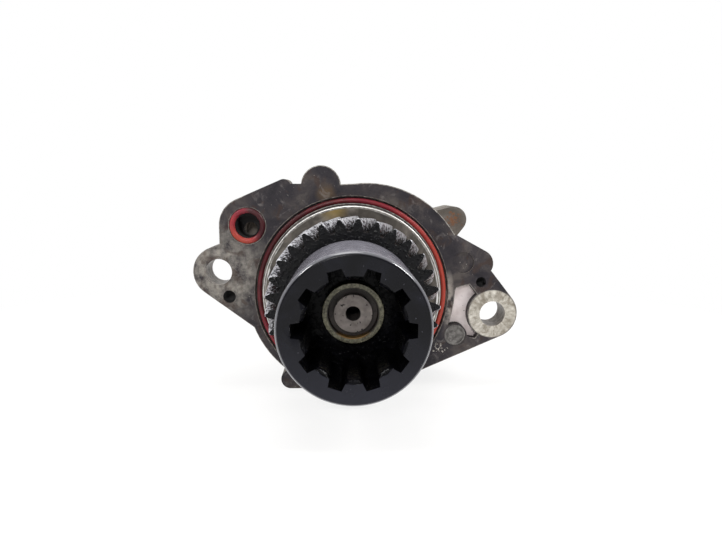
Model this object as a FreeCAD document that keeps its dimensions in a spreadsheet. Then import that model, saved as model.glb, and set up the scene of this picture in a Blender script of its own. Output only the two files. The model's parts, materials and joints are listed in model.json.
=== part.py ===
# Gear-driven rotary-vane vacuum pump of a diesel engine, in millimetres.
# X points right and Z up as the pump is seen from its gear end. Y runs from the gear towards the rear
# cover. The origin is on the shaft axis, in the mounting face of the flange.
import FreeCAD, Part
import math
import os
import re
import Sketcher

SIZES = [
    # Mounting flange
    ("flange_thickness", 12.0, "flange, front face to back face"),
    ("ring_radius", 44.9, "main ring of the flange"),
    ("ring_z", 1.2, "centre of that ring, above the shaft axis"),
    ("swell_radius", 43.3, "wider upper right arc of the flange"),
    ("swell_x", 6.0, "centre of that arc"),
    ("swell_z", 3.2, "centre of that arc"),
    ("lug_radius", 10.8, "end of each mounting lug"),
    ("mount_hole_radius", 5.5, "clearance hole for an M10 bolt"),
    ("left_lug_x", -56.1, "left mounting hole"),
    ("left_lug_z", 9.1, "left mounting hole"),
    ("left_root_radius", 38.0, "arc that the left lug runs into"),
    ("right_lug_x", 60.7, "right mounting hole"),
    ("right_lug_z", -9.1, "right mounting hole"),
    ("top_lug_x", -13.0, "blind lug on the top edge"),
    ("top_lug_z", 45.4, "blind lug on the top edge"),
    ("top_lug_radius", 8.2, "blind lug on the top edge"),
    ("side_boss_x", 54.1, "blind boss above the right lug"),
    ("side_boss_z", 12.7, "blind boss above the right lug"),
    ("side_boss_radius", 6.1, "blind boss above the right lug"),
    ("foot_x", -26.5, "left end of the flat foot"),
    ("foot_width", 36.0, "foot, between the centres of its round ends"),
    ("foot_corner", 4.2, "round ends of the foot"),
    ("floor_drop", 42.3, "shaft axis above the surface that the pump stands on"),
    ("side_root_x", 30.0, "arc that the side boss runs into"),
    ("side_root_z", 12.0, "arc that the side boss runs into"),
    ("side_root_radius", 18.2, "arc that the side boss runs into"),
    ("lug_shoulder_x", 51.0, "upper end of the straight edge above the right lug"),
    ("lug_shoulder_z", 3.0, "upper end of the straight edge above the right lug"),
    ("notch_floor", 46.0, "bottom of the notch beside the top lug, above the shaft axis"),
    ("notch_web_radius", 5.0, "web under that notch"),
    ("pocket_depth", 4.0, "cast pocket beside the right lug"),
    ("pocket_bite", 0.7, "reach of the cast pocket into the main ring"),
    ("pocket_top_x", 44.7, "cast pocket, corner at the ring"),
    ("pocket_top_z", 2.4, "cast pocket, corner at the ring"),
    ("pocket_side_x", 50.4, "cast pocket, upper right corner"),
    ("pocket_side_z", 3.7, "cast pocket, upper right corner"),
    ("pocket_toe_x", 53.5, "cast pocket, lower right corner"),
    ("pocket_toe_z", -19.9, "cast pocket, lower right corner"),
    ("pocket_heel_x", 51.2, "cast pocket, lowest corner"),
    ("pocket_heel_z", -19.6, "cast pocket, lowest corner"),
    ("plug_x", 44.8, "plugged oil gallery"),
    ("plug_z", -18.6, "plugged oil gallery"),
    ("plug_radius", 4.6, "press-in cup plug"),
    ("plug_length", 6.0, "hole of the cup plug"),
    ("plug_rim", 0.8, "rim round the dished face of the plug"),
    ("plug_sink", 0.3, "rim of the plug, behind the mounting face"),
    ("plug_dish", 0.9, "dished face of the plug, behind the mounting face"),
    ("plug_wall", 0.5, "boss wall round the plug"),
    ("pin_hole_depth", 7.0, "blind locating holes"),
    ("left_pin_x", -52.0, "locating hole below the left mounting hole"),
    ("left_pin_z", -1.5, "locating hole below the left mounting hole"),
    ("left_pin_radius", 2.7, "locating hole below the left mounting hole"),
    ("right_pin_x", 55.3, "locating hole below the side boss"),
    ("right_pin_z", 4.8, "locating hole below the side boss"),
    ("right_pin_radius", 2.2, "locating hole below the side boss"),
    ("dimple_x", 47.4, "shallow round dimple beside the side boss"),
    ("dimple_z", 13.2, "shallow round dimple beside the side boss"),
    ("dimple_radius", 4.6, "shallow round dimple beside the side boss"),
    ("dimple_depth", 0.6, "shallow round dimple beside the side boss"),
    # Spigot, its O-ring and the oil port
    ("spigot_radius", 37.4, "pilot spigot"),
    ("spigot_height", 4.4, "pilot spigot, in front of the mounting face"),
    ("spigot_bore", 32.5, "recess inside the spigot"),
    ("spigot_chamfer", 0.8, "outer edge of the spigot"),
    ("recess_floor", 5.0, "floor of the recess, behind the mounting face"),
    ("o_ring_section", 2.2, "thickness of the pilot O-ring"),
    ("o_ring_groove_depth", 2.25, "face groove of the pilot O-ring"),
    ("o_ring_groove_width", 2.8, "face groove of the pilot O-ring"),
    ("o_ring_land", 0.8, "land between the spigot and that groove"),
    ("oil_port_x", -43.7, "oil feed port"),
    ("oil_port_z", 28.6, "oil feed port"),
    ("oil_pad_radius", 11.8, "flange pad round the oil port"),
    ("oil_corner_x", -28.4, "upper corner of the oil pad"),
    ("oil_corner_z", 45.0, "upper corner of the oil pad"),
    ("oil_corner_radius", 2.9, "upper corner of the oil pad"),
    ("oil_bore_radius", 5.2, "oil port bore"),
    ("oil_bore_depth", 9.0, "oil port bore"),
    ("oil_drill_x", -43.9, "drilling at the bottom of the oil port"),
    ("oil_drill_z", 26.7, "drilling at the bottom of the oil port"),
    ("oil_drill_radius", 3.0, "drilling at the bottom of the oil port"),
    ("oil_drill_depth", 16.0, "drilling, from the mounting face"),
    ("oil_ring_section", 2.3, "thickness of the oil port O-ring"),
    ("oil_ring_groove_depth", 1.8, "face groove of the oil port O-ring"),
    # Pump barrel
    ("chamber_drop", 4.4, "chamber axis below the shaft axis"),
    ("rotor_gap", 0.1, "rotor to the chamber wall where they are nearest"),
    ("chamber_front", 20.0, "front wall of the chamber, behind the mounting face"),
    ("chamber_length", 34.0, "pumping chamber"),
    ("barrel_wall", 7.0, "wall of the barrel"),
    ("bolt_land", 0.6, "cover seal to the nearest dowel"),
    ("ear_reach", 60.9, "long ear of the first cover bolt, from the chamber axis"),
    ("first_bolt_angle", 33.3, "first cover bolt, up from the right"),
    ("bolt_radius", 3.0, "cover bolt shank"),
    ("bolt_boss_radius", 6.5, "boss round each cover bolt"),
    ("bolt_boss_length", 12.0, "bolt bosses on the barrel"),
    ("bolt_reach", 8.5, "bolt in its blind hole in the barrel"),
    ("bolt_spare", 1.0, "blind hole beyond the end of its bolt"),
    ("bolt_head", 5.0, "bolt head, half across its flats"),
    ("bolt_head_height", 5.0, "bolt head"),
    ("bolt_washer", 5.7, "round washer face of a bolt"),
    ("bolt_washer_height", 1.2, "round washer face of a bolt"),
    ("rib_thickness", 5.0, "ribs between flange and barrel"),
    ("dowel_radius", 4.2, "hollow cover dowels round two of the bolts"),
    ("dowel_length", 10.0, "hollow cover dowels"),
    # Rear cover
    ("cover_thickness", 12.0, "rear cover"),
    ("bush_boss_radius", 14.5, "boss round the rear bushing"),
    ("bush_boss_height", 4.0, "boss, behind the cover"),
    ("seal_section", 1.8, "thickness of the cover seal"),
    ("seal_land", 0.8, "chamber wall to the cover seal"),
    ("foot_pad_half", 12.0, "half the length of the cover foot"),
    # Bearing and bushing
    ("bearing_bore", 10.0, "ball bearing, inner radius"),
    ("bearing_outer", 21.0, "ball bearing, outer radius"),
    ("bearing_width", 12.0, "ball bearing"),
    ("bearing_front", 3.0, "ball bearing, behind the mounting face"),
    ("bearing_boss", 24.2, "boss round the bearing seat"),
    ("ball_radius", 3.2, "bearing balls"),
    ("ball_circle", 15.5, "centres of the bearing balls"),
    ("ball_count", 9, "bearing balls"),
    ("ball_play", 0.05, "play between a ball and its race"),
    ("race_land", 1.9, "height of a ring's land beside the ball centre"),
    ("cage_half", 0.9, "half the thickness of the cage"),
    ("circlip_thickness", 1.3, "bearing circlip"),
    ("circlip_depth", 1.0, "groove of the bearing circlip"),
    ("circlip_width", 3.2, "radial width of the bearing circlip"),
    ("circlip_gap", 50.0, "opening of the bearing circlip, in degrees"),
    ("journal_radius", 8.0, "rear journal"),
    ("journal_length", 10.0, "rear journal"),
    ("bush_wall", 2.5, "rear bushing"),
    ("running_fit", 0.04, "radial play of a shaft in its bearing"),
    ("clearance", 0.3, "gap beside a part that turns freely"),
    # Rotor and vanes
    ("rotor_radius", 21.5, "rotor"),
    ("side_play", 0.1, "play at each end of the rotor"),
    ("vane_thickness", 3.9, "vane"),
    ("vane_height", 12.4, "vane, along the radius"),
    ("slot_play", 0.05, "play on each side of a vane"),
    ("slot_spare", 0.5, "room under a vane, at the bottom of its slot"),
    ("drive_spigot_radius", 6.5, "end of the drive shaft in the rotor"),
    ("drive_spigot_length", 12.0, "end of the drive shaft in the rotor"),
    ("rotor_key_width", 3.0, "key between shaft and rotor"),
    ("rotor_key_height", 1.2, "key, above the drive spigot"),
    # Drive shaft, hub and gear
    ("hub_front", -62.1, "front face of the hub"),
    ("hub_radius", 25.25, "hub"),
    ("hub_chamfer", 1.0, "front edge of the hub"),
    ("socket_root", 20.1, "spline socket, bottom of the notches"),
    ("socket_minor", 16.3, "spline socket, over the teeth"),
    ("socket_lead", 1.3, "lead-in chamfer of the spline teeth"),
    ("spline_length", 24.0, "spline notches"),
    ("spline_count", 10, "spline teeth"),
    ("notch_width", 4.6, "spline notch at its bottom"),
    ("notch_mouth", 5.8, "spline notch at the tooth tips"),
    ("web_front", -33.3, "bottom of the socket"),
    ("web_back", -21.0, "back of the hub web"),
    ("hub_boss_radius", 13.4, "boss on the back of the hub"),
    ("hub_back_bore", 20.5, "recess in the back of the hub"),
    ("shaft_radius", 10.0, "shaft in the hub and in the ball bearing"),
    ("shoulder_radius", 11.0, "shaft behind the ball bearing"),
    ("thread_radius", 8.9, "threaded end of the shaft"),
    ("end_radius", 6.95, "pilot at the front end of the shaft"),
    ("shaft_front", -38.0, "front end of the shaft"),
    ("end_length", 2.5, "pilot at the front end of the shaft"),
    ("centre_hole_radius", 2.65, "hole in the shaft end"),
    ("centre_hole_depth", 14.0, "hole in the shaft end"),
    ("collar_radius", 11.1, "locking collar"),
    ("collar_play", 0.05, "thread play of the locking collar"),
    ("key_width", 6.0, "key between shaft and hub"),
    ("key_length", 18.0, "key between shaft and hub"),
    ("key_sink", 3.5, "depth of the key in the shaft"),
    ("key_rise", 2.5, "height of the key above the shaft"),
    ("gear_front", -26.9, "front face of the gear"),
    ("gear_width", 17.0, "gear"),
    ("gear_module", 2.0, "normal module of the gear"),
    ("helix_angle", 21.2, "helix angle of the gear"),
    ("gear_teeth", 29, "gear teeth"),
    ("pressure_angle", 24.0, "transverse pressure angle of the gear"),
    ("addendum", 1.15, "tooth tip above the pitch circle, in modules"),
    ("dedendum", 1.35, "tooth root below the pitch circle, in modules"),
    ("tooth_thinning", 0.12, "taken off each tooth flank for backlash"),
    ("root_rise", 0.15, "slope at the root of a tooth, along the radius"),
    ("root_run", 0.35, "slope at the root of a tooth, along the root circle"),
    ("gear_turn", 3.4, "first tooth from straight up, in degrees"),
    ("tip_chamfer", 0.25, "chamfer at each end of the gear teeth"),
    # Vacuum union and its check valve
    ("union_x", 20.0, "vacuum union"),
    ("union_z", -9.5, "vacuum union"),
    ("inlet_radius", 3.0, "inlet port into the chamber"),
    ("union_thread", 7.0, "screwed end of the union"),
    ("union_boss", 9.8, "cover boss round the union"),
    ("union_boss_height", 8.0, "cover boss, behind the cover"),
    ("union_depth", 14.0, "screwed end of the union"),
    ("union_hex", 9.5, "hexagon of the union, half across its flats"),
    ("union_hex_height", 8.0, "hexagon of the union"),
    ("union_collar", 9.6, "round collar under the hexagon"),
    ("washer_thickness", 1.5, "sealing washer of the union"),
    ("nipple_radius", 5.0, "hose nipple"),
    ("nipple_bore", 3.2, "hose nipple"),
    ("nipple_length", 24.0, "hose nipple, behind the hexagon"),
    ("barb_height", 0.9, "hose barbs"),
    ("valve_bore", 5.4, "valve chamber in the union"),
    ("valve_bore_depth", 10.0, "valve chamber in the union"),
    ("poppet_radius", 4.9, "valve poppet"),
    ("poppet_thickness", 1.8, "valve poppet"),
    ("poppet_stem", 1.8, "stem of the poppet"),
    ("poppet_stem_length", 4.0, "stem of the poppet"),
    ("retainer_thickness", 1.0, "spring retainer"),
    ("retainer_bore", 2.6, "spring retainer"),
    ("spring_radius", 3.4, "valve spring, to the middle of its wire"),
    ("spring_wire", 0.4, "wire radius of the valve spring"),
    ("spring_turns", 4.0, "valve spring"),
    # Outlet reed in the recess behind the gear
    ("reed_z", -27.4, "middle of the reed"),
    ("reed_width", 4.8, "reed"),
    ("reed_thickness", 0.4, "reed"),
    ("reed_play", 0.02, "gap under the closed reed"),
    ("reed_half", 11.0, "half the length of reed and tail"),
    ("reed_hinge", 4.0, "line at which the reed bends"),
    ("reed_screw_x", 7.5, "reed screw"),
    ("outlet_x", -7.5, "outlet port under the reed"),
    ("outlet_radius", 1.6, "outlet port under the reed"),
    ("stop_thickness", 1.2, "reed stop"),
    ("stop_lift", 1.5, "room that the stop leaves over the port"),
    ("screw_radius", 1.5, "reed screw"),
    ("screw_head", 2.3, "reed screw"),
]

document = FreeCAD.newDocument("vacuum_pump")
sheet = document.addObject("Spreadsheet::Sheet", "Sizes")
for row, (alias, value, meaning) in enumerate(SIZES, start=1):
    sheet.set(f"A{row}", alias)
    sheet.set(f"B{row}", str(value))
    sheet.setAlias(f"B{row}", alias)
    sheet.set(f"C{row}", meaning)
document.recompute()
ALIASES = {alias for alias, value, meaning in SIZES}
NODES = []

Vector = FreeCAD.Vector
ALONG_Y = FreeCAD.Rotation(Vector(1, 0, 0), -90)
FACING_FRONT = FreeCAD.Rotation(Vector(1, 0, 0), 90)

# Places worked out from the driving sizes
CHAMBER_Z = "(-chamber_drop)"
COVER_FRONT = "(chamber_front + chamber_length)"
COVER_BACK = f"({COVER_FRONT} + cover_thickness)"
CHAMBER_RADIUS = "(rotor_radius + chamber_drop + rotor_gap)"
SLOT_FLOOR = "(rotor_radius - vane_height - slot_spare)"
BARREL_RADIUS = f"({CHAMBER_RADIUS} + barrel_wall)"
SEAL_RADIUS = f"({CHAMBER_RADIUS} + seal_land + seal_section / 2)"
BOLT_CIRCLE = f"({SEAL_RADIUS} + seal_section / 2 + bolt_land + dowel_radius)"
BOSS_FRONT = f"({COVER_FRONT} - bolt_boss_length)"
FLOOR_Z = "(-floor_drop)"
FOOT_Z = f"({FLOOR_Z} + foot_corner)"
GEAR_BACK = "(gear_front + gear_width)"
GEAR_TIP = "(gear_teeth * gear_module / cos(helix_angle * 1deg) / 2 + addendum * gear_module)"
BEARING_BACK = "(bearing_front + bearing_width)"
BEARING_MIDDLE = "(bearing_front + bearing_width / 2)"
UNION_FACE = f"({COVER_BACK} + union_boss_height)"
UNION_FRONT = f"({UNION_FACE} - union_depth)"
HEX_FRONT = f"({UNION_FACE} + washer_thickness)"
HEX_BACK = f"({HEX_FRONT} + union_hex_height)"
VALVE_SEAT = f"({UNION_FRONT} + valve_bore_depth)"
GROOVE_INSIDE = "(spigot_radius + o_ring_land)"
REED_BACK = "(recess_floor - reed_play)"
REED_FRONT = "(recess_floor - reed_play - reed_thickness)"


def size(name):
    """Give the present value of one driving size."""
    return float(sheet.get(name))


def linked(text):
    """Turn a formula in the names of driving sizes into one that an object can be bound to."""
    def in_sheet(word):
        return "Sizes." + word[0] if word[0] in ALIASES else word[0]

    return re.sub(r"[a-z_]+[a-z]", in_sheet, str(text))


def amount(text):
    """Work out the value of a formula at the present sizes."""
    return float(sheet.evalExpression(linked(text).replace("Sizes.", "")))


def bind(item, **formulas):
    """Bind properties of an object to formulas; two underscores stand for a dot."""
    for name, formula in formulas.items():
        item.setExpression(name.replace("__", "."), linked(formula))
    return item


def cylinder(name, radius, front, back, x="0", z="0"):
    """Make a cylinder along Y between two planes."""
    item = document.addObject("Part::Cylinder", name)
    item.Placement = FreeCAD.Placement(Vector(), ALONG_Y)
    return bind(item, Radius=radius, Height=f"({back}) - ({front})",
                Placement__Base__x=x, Placement__Base__y=front, Placement__Base__z=z)


def box(name, x, y, z):
    """Make a box from three pairs of formulas: its low and high side on each axis."""
    item = document.addObject("Part::Box", name)
    return bind(item, Length=f"({x[1]}) - ({x[0]})", Width=f"({y[1]}) - ({y[0]})",
                Height=f"({z[1]}) - ({z[0]})", Placement__Base__x=x[0],
                Placement__Base__y=y[0], Placement__Base__z=z[0])


def fuse(name, parts):
    """Join several solids into one."""
    item = document.addObject("Part::MultiFuse", name)
    item.Shapes = parts
    item.Refine = True
    return item


def cut(name, base, tools):
    """Take one or more solids out of another."""
    tool = tools[0] if len(tools) == 1 else fuse(name + "_tools", tools)
    item = document.addObject("Part::Cut", name)
    item.Base = base
    item.Tool = tool
    item.Refine = True
    return item


def node(name, item):
    """Give a finished sub-part its own name and put it on the list to hand over."""
    item.Label = name
    NODES.append(item)
    return item


def arm(name, start, end, front, back):
    """Make a slab with two round ends, each an x, z and radius, and straight tangent sides."""
    (x1, z1, r1), (x2, z2, r2) = [[amount(value) for value in place] for place in (start, end)]
    heading = math.atan2(z2 - z1, x2 - x1)
    opening = math.acos((r1 - r2) / math.hypot(x2 - x1, z2 - z1))
    high, low = heading + opening, heading - opening
    sketch = document.addObject("Sketcher::SketchObject", name + "_outline")

    def spot(x, z, radius, angle):
        return Vector(x + radius * math.cos(angle), z + radius * math.sin(angle), 0)

    first = Part.Circle(Vector(x1, z1, 0), Vector(0, 0, 1), r1)
    second = Part.Circle(Vector(x2, z2, 0), Vector(0, 0, 1), r2)
    sketch.addGeometry(Part.ArcOfCircle(first, high, low + 2 * math.pi), False)
    sketch.addGeometry(Part.LineSegment(spot(x1, z1, r1, low), spot(x2, z2, r2, low)), False)
    sketch.addGeometry(Part.ArcOfCircle(second, low, high), False)
    sketch.addGeometry(Part.LineSegment(spot(x2, z2, r2, high), spot(x1, z1, r1, high)), False)
    for one, one_end, other, other_end in ((0, 2, 1, 1), (1, 2, 2, 1), (2, 2, 3, 1), (3, 2, 0, 1)):
        sketch.addConstraint(Sketcher.Constraint("Tangent", one, one_end, other, other_end))
    for curve, (x, z, radius) in ((0, start), (2, end)):
        for kind, formula in (("DistanceX", x), ("DistanceY", z)):
            index = sketch.addConstraint(Sketcher.Constraint(kind, -1, 1, curve, 3, 1.0))
            sketch.setExpression(f"Constraints[{index}]", linked(formula))
        index = sketch.addConstraint(Sketcher.Constraint("Radius", curve, 1.0))
        sketch.setExpression(f"Constraints[{index}]", linked(radius))
    sketch.Placement = FreeCAD.Placement(Vector(), FACING_FRONT)
    bind(sketch, Placement__Base__y=front)
    slab = document.addObject("Part::Extrusion", name)
    slab.Base = sketch
    slab.DirMode = "Custom"
    slab.Dir = Vector(0, 1, 0)
    slab.Solid = True
    return bind(slab, LengthFwd=f"({back}) - ({front})")


def polygon_sketch(body, name, role, points):
    """Draw a closed polygon on one of a body's origin planes, each corner a pair of formulas."""
    sketch = body.newObject("Sketcher::SketchObject", name)
    plane = [item for item in body.Origin.OriginFeatures if item.Role == role][0]
    sketch.AttachmentSupport = [(plane, "")]
    sketch.MapMode = "FlatFace"
    corners = [Vector(amount(u), amount(v), 0) for u, v in points]
    for index, corner in enumerate(corners):
        sketch.addGeometry(Part.LineSegment(corner, corners[(index + 1) % len(corners)]), False)
    for index in range(len(corners)):
        following = (index + 1) % len(corners)
        sketch.addConstraint(Sketcher.Constraint("Coincident", index, 2, following, 1))
    for index, pair in enumerate(points):
        for kind, formula in zip(("DistanceX", "DistanceY"), pair):
            place = sketch.addConstraint(Sketcher.Constraint(kind, -1, 1, index, 1, 1.0))
            sketch.setExpression(f"Constraints[{place}]", linked(formula))
    return sketch


def turned(name, profile, x="0", z="0"):
    """Turn a profile of (radius, y) corners about an axis along Y."""
    body = document.addObject("PartDesign::Body", name)
    sketch = polygon_sketch(body, name + "_profile", "XY_Plane", profile)
    turning = body.newObject("PartDesign::Revolution", name + "_turning")
    turning.Profile = sketch
    turning.ReferenceAxis = (sketch, ["V_Axis"])
    turning.Angle = 360
    return bind(body, Placement__Base__x=x, Placement__Base__z=z)


def patterned(body, name, feature, count):
    """Repeat a feature of a body evenly round the Y axis."""
    pattern = body.newObject("PartDesign::PolarPattern", name)
    pattern.Originals = [feature]
    axis = [item for item in body.Origin.OriginFeatures if item.Role == "Y_Axis"][0]
    pattern.Axis = (axis, [""])
    pattern.Angle = 360
    bind(pattern, Occurrences=count)
    body.Tip = pattern
    return pattern


def bolt_places():
    """Give the x and z of the five cover bolts; the first one stands on the long ear."""
    places = []
    for turn in range(5):
        reach = "ear_reach" if turn == 0 else BOLT_CIRCLE
        angle = f"(first_bolt_angle + {turn} * 72)"
        places.append((f"{reach} * cos({angle} * 1deg)", f"{CHAMBER_Z} + {reach} * sin({angle} * 1deg)"))
    return places


def dowel_places():
    """Give the x and z of the two hollow dowels, which sit round the second and fourth cover bolt."""
    places = bolt_places()
    return [places[1], places[3]]


def torus(name, radius, section, y, x="0", z="0"):
    """Make an O-ring: radius is to the middle of its round section."""
    item = document.addObject("Part::Torus", name)
    item.Placement = FreeCAD.Placement(Vector(), ALONG_Y)
    return bind(item, Radius1=radius, Radius2=f"{section} / 2",
                Placement__Base__x=x, Placement__Base__y=y, Placement__Base__z=z)


def flange_outline(front, back):
    """Build the irregular flange from its ring, lugs, pads and foot."""
    left_root = ("0", "ring_z", "left_root_radius")
    ring = ("0", "ring_z", "ring_radius")
    foot_right = ("foot_x + foot_width", FOOT_Z, "foot_corner")
    oil_root = ("oil_port_x", "oil_pad_radius + ring_z", "oil_pad_radius")
    notch_z = "(notch_floor - notch_web_radius)"
    return [
        cylinder("ring", "ring_radius", front, back, z="ring_z"),
        cylinder("swell", "swell_radius", front, back, "swell_x", "swell_z"),
        arm("left_lug", ("left_lug_x", "left_lug_z", "lug_radius"), left_root, front, back),
        arm("right_lug", ("right_lug_x", "right_lug_z", "lug_radius"), ring, front, back),
        cylinder("top_lug", "top_lug_radius", front, back, "top_lug_x", "top_lug_z"),
        arm("side_boss", ("side_boss_x", "side_boss_z", "side_boss_radius"),
            ("side_root_x", "side_root_z", "side_root_radius"), front, back),
        arm("lug_shoulder", ("right_lug_x", "right_lug_z", "lug_radius"),
            ("lug_shoulder_x", "lug_shoulder_z", "lug_radius"), front, back),
        arm("oil_pad", ("oil_port_x", "oil_port_z", "oil_pad_radius"),
            ("oil_corner_x", "oil_corner_z", "oil_corner_radius"), front, back),
        arm("oil_pad_root", ("oil_port_x", "oil_port_z", "oil_pad_radius"), oil_root, front, back),
        arm("notch_web", ("oil_corner_x", notch_z, "notch_web_radius"),
            ("top_lug_x", notch_z, "notch_web_radius"), front, back),
        arm("foot", ("foot_x", FOOT_Z, "foot_corner"), foot_right, front, back),
    ]


def gusset(name, tip_x, z):
    """Make a rib that leans from the barrel down to the back of a lug."""
    body = document.addObject("PartDesign::Body", name)
    outline = polygon_sketch(body, name + "_profile", "XY_Plane", [
        ("0", "flange_thickness - 1"),
        (tip_x, "flange_thickness - 1"),
        (tip_x, "flange_thickness + 2"),
        (f"({tip_x}) * {CHAMBER_RADIUS} / abs({tip_x})", BOSS_FRONT),
        ("0", BOSS_FRONT),
    ])
    pad = body.newObject("PartDesign::Pad", name + "_pad")
    pad.Profile = outline
    pad.Midplane = True
    bind(outline, AttachmentOffset__Base__z=z)
    bind(pad, Length="rib_thickness")
    return body


def cast_pocket():
    """Shape the pocket between the ring, the right lug and the plugged gallery."""
    body = document.addObject("PartDesign::Body", "pocket_body")
    outline = polygon_sketch(body, "pocket_profile", "XZ_Plane", [
        ("pocket_top_x", "pocket_top_z"),
        ("pocket_side_x", "pocket_side_z"),
        ("right_lug_x", "right_lug_z"),
        ("pocket_toe_x", "pocket_toe_z"),
        ("pocket_heel_x", "pocket_heel_z"),
        ("plug_x - plug_radius", "plug_z + plug_radius + plug_wall"),
    ])
    pad = body.newObject("PartDesign::Pad", "pocket_pad")
    pad.Profile = outline
    bind(outline, AttachmentOffset__Base__z="-pocket_depth")
    bind(pad, Length="pocket_depth + 1")
    front, back = "-2", "pocket_depth + 1"
    return cut("cast_pocket", body, [
        cylinder("pocket_ring", "ring_radius - pocket_bite", front, back, z="ring_z"),
        cylinder("pocket_lug", "lug_radius", front, back, "right_lug_x", "right_lug_z"),
        cylinder("pocket_plug", "plug_radius + plug_wall", front, back, "plug_x", "plug_z"),
    ])


def make_housing():
    """Cast housing: flange with spigot, bearing seat, barrel with its eccentric chamber, and bolt bosses."""
    back = "flange_thickness"
    solids = flange_outline("0", back)
    solids.append(turned("spigot", [
        ("0", "-spigot_height"),
        ("spigot_radius - spigot_chamfer", "-spigot_height"),
        ("spigot_radius", "spigot_chamfer - spigot_height"),
        ("spigot_radius", back),
        ("0", back),
    ]))
    solids.append(cylinder("barrel", BARREL_RADIUS, "0", COVER_FRONT, z=CHAMBER_Z))
    for index, (x, z) in enumerate(bolt_places()):
        solids.append(arm(f"barrel_boss_{index + 1}", (x, z, "bolt_boss_radius"),
                          ("0", CHAMBER_Z, CHAMBER_RADIUS), BOSS_FRONT, COVER_FRONT))
    solids.append(arm("oil_boss", ("oil_port_x", "oil_port_z", "oil_bore_radius + 3"),
                      ("0", "0", "rotor_radius"), "0", "oil_drill_depth + 4"))
    solids.append(gusset("left_rib", "left_lug_x + lug_radius", "left_lug_z"))
    solids.append(gusset("right_rib", "right_lug_x - lug_radius", "right_lug_z"))
    casting = fuse("casting", solids)
    under_foot = box("under_foot", ("-ring_radius", "ring_radius"), ("-1", f"{back} + 1"),
                     ("-2 * floor_drop", FLOOR_Z))

    seat_back = BEARING_BACK
    clip_front = "(bearing_front - circlip_thickness)"
    hollow = turned("bearing_hollow", [
        ("0", "-spigot_height - 1"),
        ("bearing_outer", "-spigot_height - 1"),
        ("bearing_outer", clip_front),
        ("bearing_outer + circlip_depth", clip_front),
        ("bearing_outer + circlip_depth", "bearing_front"),
        ("bearing_outer", "bearing_front"),
        ("bearing_outer", seat_back),
        ("shoulder_radius + clearance", seat_back),
        ("shoulder_radius + clearance", "chamber_front + 1"),
        ("0", "chamber_front + 1"),
    ])
    recess = turned("spigot_recess", [
        ("bearing_boss", "0"),
        ("bearing_boss", "recess_floor"),
        ("spigot_bore", "recess_floor"),
        ("spigot_bore", "-spigot_height - 1"),
        ("0", "-spigot_height - 1"),
        ("0", "0"),
    ])
    groove = turned("pilot_groove", [
        (GROOVE_INSIDE, "-1"),
        (f"{GROOVE_INSIDE} + o_ring_groove_width", "-1"),
        (f"{GROOVE_INSIDE} + o_ring_groove_width", "o_ring_groove_depth"),
        (GROOVE_INSIDE, "o_ring_groove_depth"),
    ])
    port = turned("oil_port", [
        ("0", "-1"),
        ("oil_bore_radius + oil_ring_section", "-1"),
        ("oil_bore_radius + oil_ring_section", "oil_ring_groove_depth"),
        ("oil_bore_radius", "oil_ring_groove_depth"),
        ("oil_bore_radius", "oil_bore_depth"),
        ("0", "oil_bore_depth"),
    ], "oil_port_x", "oil_port_z")
    tools = [
        hollow, recess, groove, port, cast_pocket(), under_foot,
        cylinder("chamber", CHAMBER_RADIUS, "chamber_front", f"{COVER_FRONT} + 1", z=CHAMBER_Z),
        cylinder("left_hole", "mount_hole_radius", "-1", f"{back} + 1", "left_lug_x", "left_lug_z"),
        cylinder("right_hole", "mount_hole_radius", "-1", f"{back} + 1", "right_lug_x", "right_lug_z"),
        cylinder("oil_drilling", "oil_drill_radius", "0", "oil_drill_depth", "oil_drill_x", "oil_drill_z"),
        cylinder("left_pin_hole", "left_pin_radius", "-1", "pin_hole_depth", "left_pin_x", "left_pin_z"),
        cylinder("right_pin_hole", "right_pin_radius", "-1", "pin_hole_depth",
                 "right_pin_x", "right_pin_z"),
        cylinder("dimple", "dimple_radius", "-1", "dimple_depth", "dimple_x", "dimple_z"),
        cylinder("plug_hole", "plug_radius", "-1", "plug_length", "plug_x", "plug_z"),
        cylinder("outlet_port", "outlet_radius", "0", "chamber_front + 1", "outlet_x", "reed_z"),
        cylinder("reed_screw_hole", "screw_radius", "0", "recess_floor + 6", "reed_screw_x", "reed_z"),
    ]
    for index, (x, z) in enumerate(bolt_places()):
        tools.append(cylinder(f"bolt_thread_{index + 1}", "bolt_radius",
                              f"{COVER_FRONT} - bolt_reach - bolt_spare", f"{COVER_FRONT} + 1", x, z))
    for index, (x, z) in enumerate(dowel_places()):
        tools.append(cylinder(f"dowel_hole_{index + 1}", "dowel_radius",
                              f"{COVER_FRONT} - dowel_length / 2", f"{COVER_FRONT} + 1", x, z))
    return node("pump_housing", cut("pump_housing", casting, tools))


def make_seals_and_plug():
    """O-rings in their face grooves, and the plug of the oil gallery."""
    node("pilot_o_ring", torus("pilot_o_ring", f"{GROOVE_INSIDE} + o_ring_section / 2", "o_ring_section",
                               "o_ring_groove_depth - o_ring_section / 2"))
    node("oil_port_o_ring", torus("oil_port_o_ring", "oil_bore_radius + oil_ring_section / 2",
                                  "oil_ring_section", "oil_ring_groove_depth - oil_ring_section / 2",
                                  "oil_port_x", "oil_port_z"))
    node("gallery_plug", turned("gallery_plug", [
        ("0", "plug_dish"),
        ("plug_radius - plug_rim", "plug_dish"),
        ("plug_radius - plug_rim", "plug_sink"),
        ("plug_radius", "plug_sink"),
        ("plug_radius", "plug_length"),
        ("0", "plug_length"),
    ], "plug_x", "plug_z"))


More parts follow.
